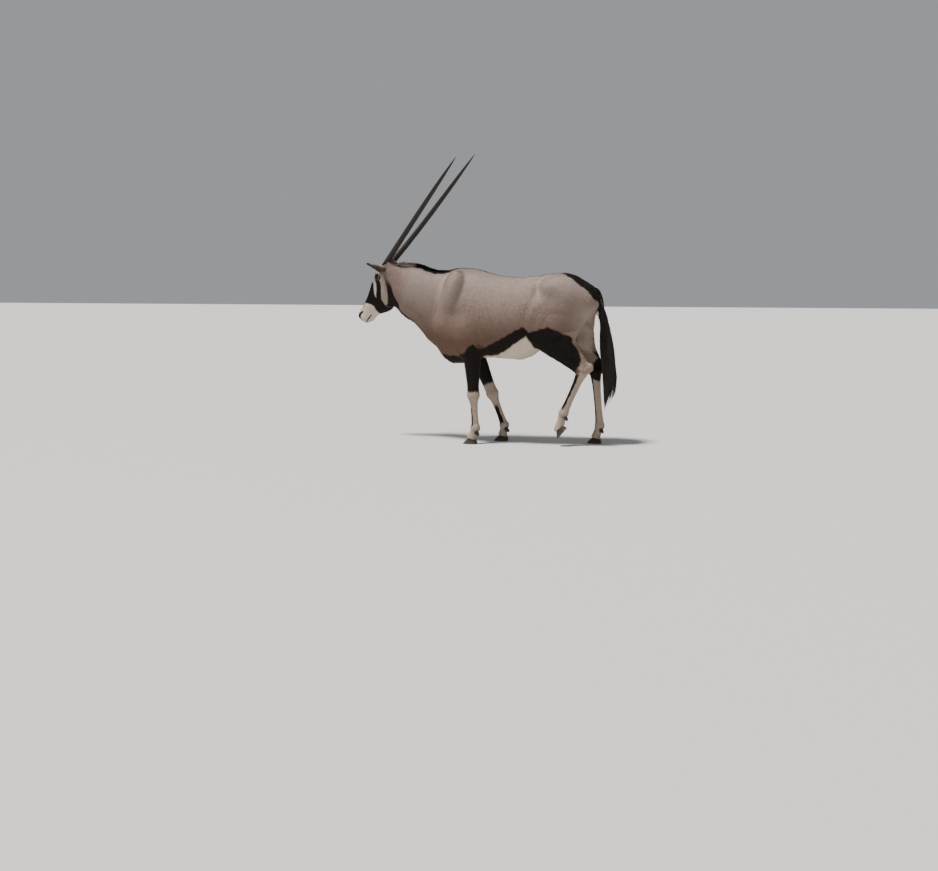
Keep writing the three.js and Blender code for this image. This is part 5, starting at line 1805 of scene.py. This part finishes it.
# The hair's outline by height: its middle along X, half its depth along X, half its width.
TAIL_SHAPE = [
    [225, 584, 12, 8],
    [300, 600, 34, 22],
    [370, 612, 48, 30],
    [460, 610, 49, 34],
    [540, 602, 46, 36],
    [620, 593, 47, 38],
    [700, 582, 42, 36],
    [780, 575, 33, 31],
    [860, 566, 24, 25],
    [940, 551, 19, 20],
    [1010, 528, 18, 18],
]
tail_profile = profile(TAIL_SHAPE)
# In each of the tail's two pieces of hair.
TAIL_HAIRS, TAIL_LOCKS = 2300, 90


def dock_point(t):
    path = curve([(x, 0, z) for x, z in DOCK], 200)
    at = np.clip(np.asarray(t) * 199, 0, 199)
    i = np.minimum(at.astype(int), 198)
    return path[i] + (path[i + 1] - path[i]) * (at - i)[..., None]


def dock_mesh():
    rings = []
    for t in np.linspace(0, 1, 60):
        way = unit(dock_point(np.array(t + 0.01)) - dock_point(np.array(t - 0.01)))
        across = np.array([0.0, 1.0, 0.0])
        over = np.cross(way, across)
        radius = mix(*DOCK_RADIUS, math.sqrt(t)) * (1 if t < 0.97 else 0.7)
        turn = np.arange(32) * 2 * math.pi / 32
        rings.append(
            dock_point(np.array(t))
            + across * (radius * np.cos(turn))[:, None] + over * (radius * np.sin(turn))[:, None]
        )
    return loft(rings)


def tail_hair(count, locks):
    """Long dark hair in locks: short and close on the dock, then falling past the hocks."""
    start = 0.06 + 0.93 * rng.random(locks) ** 0.8
    angle = rng.uniform(0, 2 * math.pi, locks)
    wide = 0.25 + 0.72 * np.sqrt(rng.random(locks))
    end = mix(640, 300, start**0.75) + rng.uniform(-40, 60, locks)
    end = end + 34 * np.cos(angle) * wide
    which = rng.integers(0, locks, count)
    t0 = np.clip(start[which] + rng.normal(scale=0.03, size=count), 0.05, 0.995)
    turn = angle[which] + rng.normal(scale=0.28, size=count)
    out = wide[which] + rng.normal(scale=0.07, size=count)
    low = end[which] + rng.normal(scale=14, size=count)
    # The last locks make the long point at the inner side.
    point = rng.random(count) < 0.1
    low = np.where(point, rng.uniform(238, 330, count), low)
    turn = np.where(point, math.pi + rng.normal(scale=0.6, size=count), turn)
    root = dock_point(t0)
    radius = mix(*DOCK_RADIUS, np.sqrt(t0)) * 0.96
    ring = np.stack([np.cos(turn), np.sin(turn), 0 * turn], 1)
    root = root + ring * radius[:, None]
    steps = 9
    s = np.linspace(0, 1, steps)[None] ** 0.9
    z = root[:, 2:3] + (low[:, None] - root[:, 2:3]) * s
    middle, deep, broad = np.moveaxis(tail_profile(z), -1, 0)
    gather = 1 - 0.25 * s**3
    wave = 3.0 * np.sin(z / 55 + angle[which][:, None] * 3) * s
    x = middle + deep * (out * np.cos(turn))[:, None] * gather + wave
    y = broad * (out * np.sin(turn))[:, None] * gather + 0.6 * wave
    fall = smooth(0.0, 0.3, s)
    x = root[:, :1] * (1 - fall) + x * fall
    y = root[:, 1:2] * (1 - fall) + y * fall
    paths = np.stack([x, y, z], -1)
    shares = np.array([0.8, 1.0, 1.1, 1.1, 1.05, 0.95, 0.8, 0.5, 0.15])
    return paths, shares * rng.uniform(0.8, 1.2, (count, 1)), t0, turn


def tail_material():
    paint = Paint("tail_hair", Roughness=0.48, Specular_IOR_Level=0.5)
    tone = 0.55 + 0.9 * paint.attribute("tint")
    colour = paint.mix(paint.noise(14, 3), (0.014, 0.011, 0.010), (0.026, 0.019, 0.016))
    return paint.finish(Base_Color=paint.shade(colour, tone))


# Mane and lashes

MANE_TALL = [(-912, 8), (-886, 26), (-843, 37), (-790, 37), (-737, 28), (-631, 17), (-520, 16)]
MANE_TALL += [(-436, 7)]
# The leaning hairs stand this share of their length above the skin.
MANE_UPRIGHT = 0.78
MANE_HAIRS = 3600
LASHES = 70
# The lashes root on the lid, this many times as far out as its edge.
LASH_RING = 1.16


def mane_hair(count):
    """The short upright mane, from behind the horns to the withers, leaning back."""
    x = rng.uniform(MANE_TALL[0][0], MANE_TALL[-1][0], count)
    off = rng.normal(size=count) * (7.5 + 5.5 * smooth(-730, -790, x))
    z = trunk_profile(x)[:, 0] - 3
    root = settle(skin_field, np.stack([x, neck_shift(x) + off, z], 1), 3)
    tall = line(MANE_TALL, x) / MANE_UPRIGHT + rng.uniform(-5, 4, count)
    tall = np.maximum(tall * (1 - 0.3 * np.minimum(np.abs(off) / 20, 1)), 5)[:, None, None]
    sideways = rng.normal(scale=0.14, size=count) + 0.03 * off
    lean = np.stack([np.full(count, 0.75), sideways, np.full(count, 0.85)], 1)
    lean = unit(lean)[:, None]
    s = np.linspace(0, 1, 5)[None, :, None]
    bend = np.array([0.55, 0, -0.35])
    paths = root[:, None] - lean * 2 + tall * (lean * s + 0.5 * bend * s**2)
    radii = np.array([0.85, 0.95, 0.8, 0.5, 0.12]) * rng.uniform(0.8, 1.25, (count, 1))
    marks = markings(root)
    crown = smooth(-760, -735, x) * smooth(13, 9, np.abs(off) * 0.75)
    marks["black"] = np.maximum(marks["black"], crown)
    # Painted highlight: the front of the mane just behind the horns is made paler, as where sun lights
    # the top of the neck.
    marks["white"] = np.maximum(marks["white"], 0.3 * smooth(-740, -790, x))
    return paths, radii, root, marks


def lashes(out, count):
    """Dark lashes along the upper lid."""
    angle = rng.uniform(0.1, math.pi - 0.1, count)
    u = LASH_RING * LID_HALF_LENGTH * np.cos(angle)
    v = LASH_RING * LID_HALF_HEIGHT[0] * np.sin(angle) ** 0.9
    w = np.sqrt(np.maximum((EYE_RADIUS + 2.0) ** 2 - u * u - v * v, 9))
    tip = np.stack([u * 1.18, v + rng.uniform(3, 6, count), w + rng.uniform(7, 10, count)], 1)
    root = np.stack([u, v, w], 1)
    t = np.linspace(0, 1, 5)[None, :, None]
    path = root[:, None] * (1 - t) + tip[:, None] * t
    path = path + np.array([0, -3.2, 0]) * (t * (1 - t))
    radii = np.array([0.4, 0.42, 0.35, 0.22, 0.06]) * np.ones((count, 1))
    return eye_point(*np.moveaxis(path, -1, 0), out), radii


# Putting the animal together

skin_v, skin_f = make_skin()
skin_n = normals_of(skin_v, skin_f)
hair = hair_material()
skin_paint = skin_material()
skin = put_mesh("skin", skin_v, skin_f, skin_paint, markings(skin_v))
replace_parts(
    skin, "torso", "neck", "head", "foreleg_left", "foreleg_right", "hindleg_left", "hindleg_right"
)

tuft = tuft_object(hair)
coat_group = coat_tree(tuft)
middle = skin_v[skin_f].mean(1)
mx, my, mz = middle.T
on_head = mx < HEAD_FROM
side_of_face = head_local(middle)[:, 2]
on_leg = ~on_head & (mz < 560) & (np.abs(my) > 30)
on_body = ~on_leg & (mx >= NECK_COAT_FROM)
# Each coat piece: its faces of the skin, and tufts on a square metre.
areas = {
    "coat_left_face": (on_head & (side_of_face > 0), 118000),
    "coat_right_face": (on_head & (side_of_face <= 0), 118000),
    "coat_neck": (~on_head & (mx < NECK_COAT_FROM), 140000),
    "coat_left_side": (on_body & (my < 0), 54000),
    "coat_right_side": (on_body & (my >= 0), 54000),
    "coat_forelegs": (on_leg & (mx < LEGS_PART_AT), 76000),
    "coat_hindlegs": (on_leg & (mx >= LEGS_PART_AT), 84000),
}
for seed, (name, (keep, density)) in enumerate(areas.items()):
    short_coat(name, skin_v, skin_f, skin_n, keep, density, coat_group, seed)
bpy.data.objects.remove(tuft)

horn_paint, hoof_paint = horn_material(), hoof_material()
eye_paint, tail_paint = eye_material(), tail_material()
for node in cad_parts:
    words = node.split("_")
    if words[0] in ("horn", "eye", "ear"):
        out = 1 if words[1] == "left" else -1
        if words[0] == "horn":
            v, f, marks = horn_mesh(out)
            piece = put_mesh("horns_" + words[1], v, f, horn_paint, marks)
        elif words[0] == "eye":
            v, f, marks = eye_mesh(out)
            piece = put_mesh("eyeball_" + words[1], v, f, eye_paint, marks)
        else:
            v, f, marks = ear_mesh(out)
            shades = ear_marks(marks["along"], marks["rim"], marks["inner"], out)
            piece = put_mesh("ear_leaf_" + words[1], v, f, skin_paint, shades)
            ear_hair(out, "ear_hair_" + words[1], hair)
        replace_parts(piece, node)
    elif words[0] in ("hoof", "dewclaw"):
        side = LEFT if words[2] == "left" else RIGHT
        make = claw_mesh if words[0] == "hoof" else dewclaw_mesh
        v, f, marks = make(words[1], side, side if words[3] == "outer" else -side)
        name = node.replace("hoof", "claw").replace("dewclaw", "dew_toe")
        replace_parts(put_mesh(name, v, f, hoof_paint, marks), node)
for out, word in ((1, "left"), (-1, "right")):
    paths, radii = lashes(out, LASHES)
    put_strands("lashes_" + word, paths, radii, tail_paint)

v, f = dock_mesh()
dark = even_marks(len(v), black=1, white=0, warm=0, bare=0)
dock = put_mesh("tail_dock", v, f, skin_paint, dark)
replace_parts(dock, "tail")
for i in range(2):
    paths, radii, t0, turn = tail_hair(TAIL_HAIRS, TAIL_LOCKS)
    chart = np.stack([0.02 + 0.96 * (turn / (2 * math.pi) % 1), 0.457 + 0.026 * t0], 1)
    marks = even_marks(len(t0), black=1, white=0)
    put_strands(f"tail_hair_{i + 1}", paths, radii, tail_paint, None, chart, marks)

paths, radii, root, marks = mane_hair(MANE_HAIRS)
put_strands("mane", paths, radii, hair, root, None, marks, 0.5)

# Floor, light and camera

CAMERA_AT = Vector((1.52879, -8.87611, 1.21177)) + Vector(PLACE) * MM
CAMERA_TURN = 12 * DEGREE
CAMERA_PITCH = 7.343 * DEGREE
FOCAL_PIXELS = 1323
IMAGE_WIDTH = 938
SENSOR_WIDTH = 36
world = bpy.data.worlds.new("studio")
bpy.context.scene.world = world
world.use_nodes = True
sky = world.node_tree.nodes["Background"].inputs
sky["Color"].default_value = (0.93, 0.95, 1, 1)
sky["Strength"].default_value = 0.36

mesh = bpy.data.meshes.new("floor")
mesh.from_pydata([(-30, -12, 0), (30, -12, 0), (30, 30, 0), (-30, 30, 0)], [], [(0, 1, 2, 3)])
floor = add_object("floor", mesh)
mesh.materials.append(Paint("floor_paint", Base_Color=(0.5, 0.495, 0.485, 1), Roughness=0.9).material)


def aim(piece, way):
    """Turns a lamp or the camera to look along a way."""
    piece.rotation_mode = "QUATERNION"
    piece.rotation_quaternion = way.to_track_quat("-Z", "Y")


sun = bpy.data.lights.new("sun", "SUN")
sun.energy = 7.2
sun.angle = 9 * DEGREE
sun.color = (1, 0.97, 0.93)
aim(add_object("sun", sun), Vector((0.32, 0.24, -1.0)))

FILL_AT, FILL_AIM = Vector((-3.5, -6, 2.6)), Vector((0, 0, 0.7))
fill = bpy.data.lights.new("fill", "AREA")
fill.shape = "DISK"
fill.size = 3
fill.energy = 20
fill.color = (1, 0.98, 0.96)
lamp = add_object("fill", fill)
lamp.location = FILL_AT
aim(lamp, FILL_AIM - FILL_AT)

camera = bpy.data.cameras.new("camera")
camera.sensor_width = SENSOR_WIDTH
camera.lens = SENSOR_WIDTH * FOCAL_PIXELS / IMAGE_WIDTH
camera.clip_start = 0.1
camera.clip_end = 200
eye = add_object("camera", camera)
eye.location = CAMERA_AT
level = math.cos(CAMERA_PITCH)
look = (-math.sin(CAMERA_TURN) * level, math.cos(CAMERA_TURN) * level, -math.sin(CAMERA_PITCH))
aim(eye, Vector(look))
bpy.context.scene.camera = eye
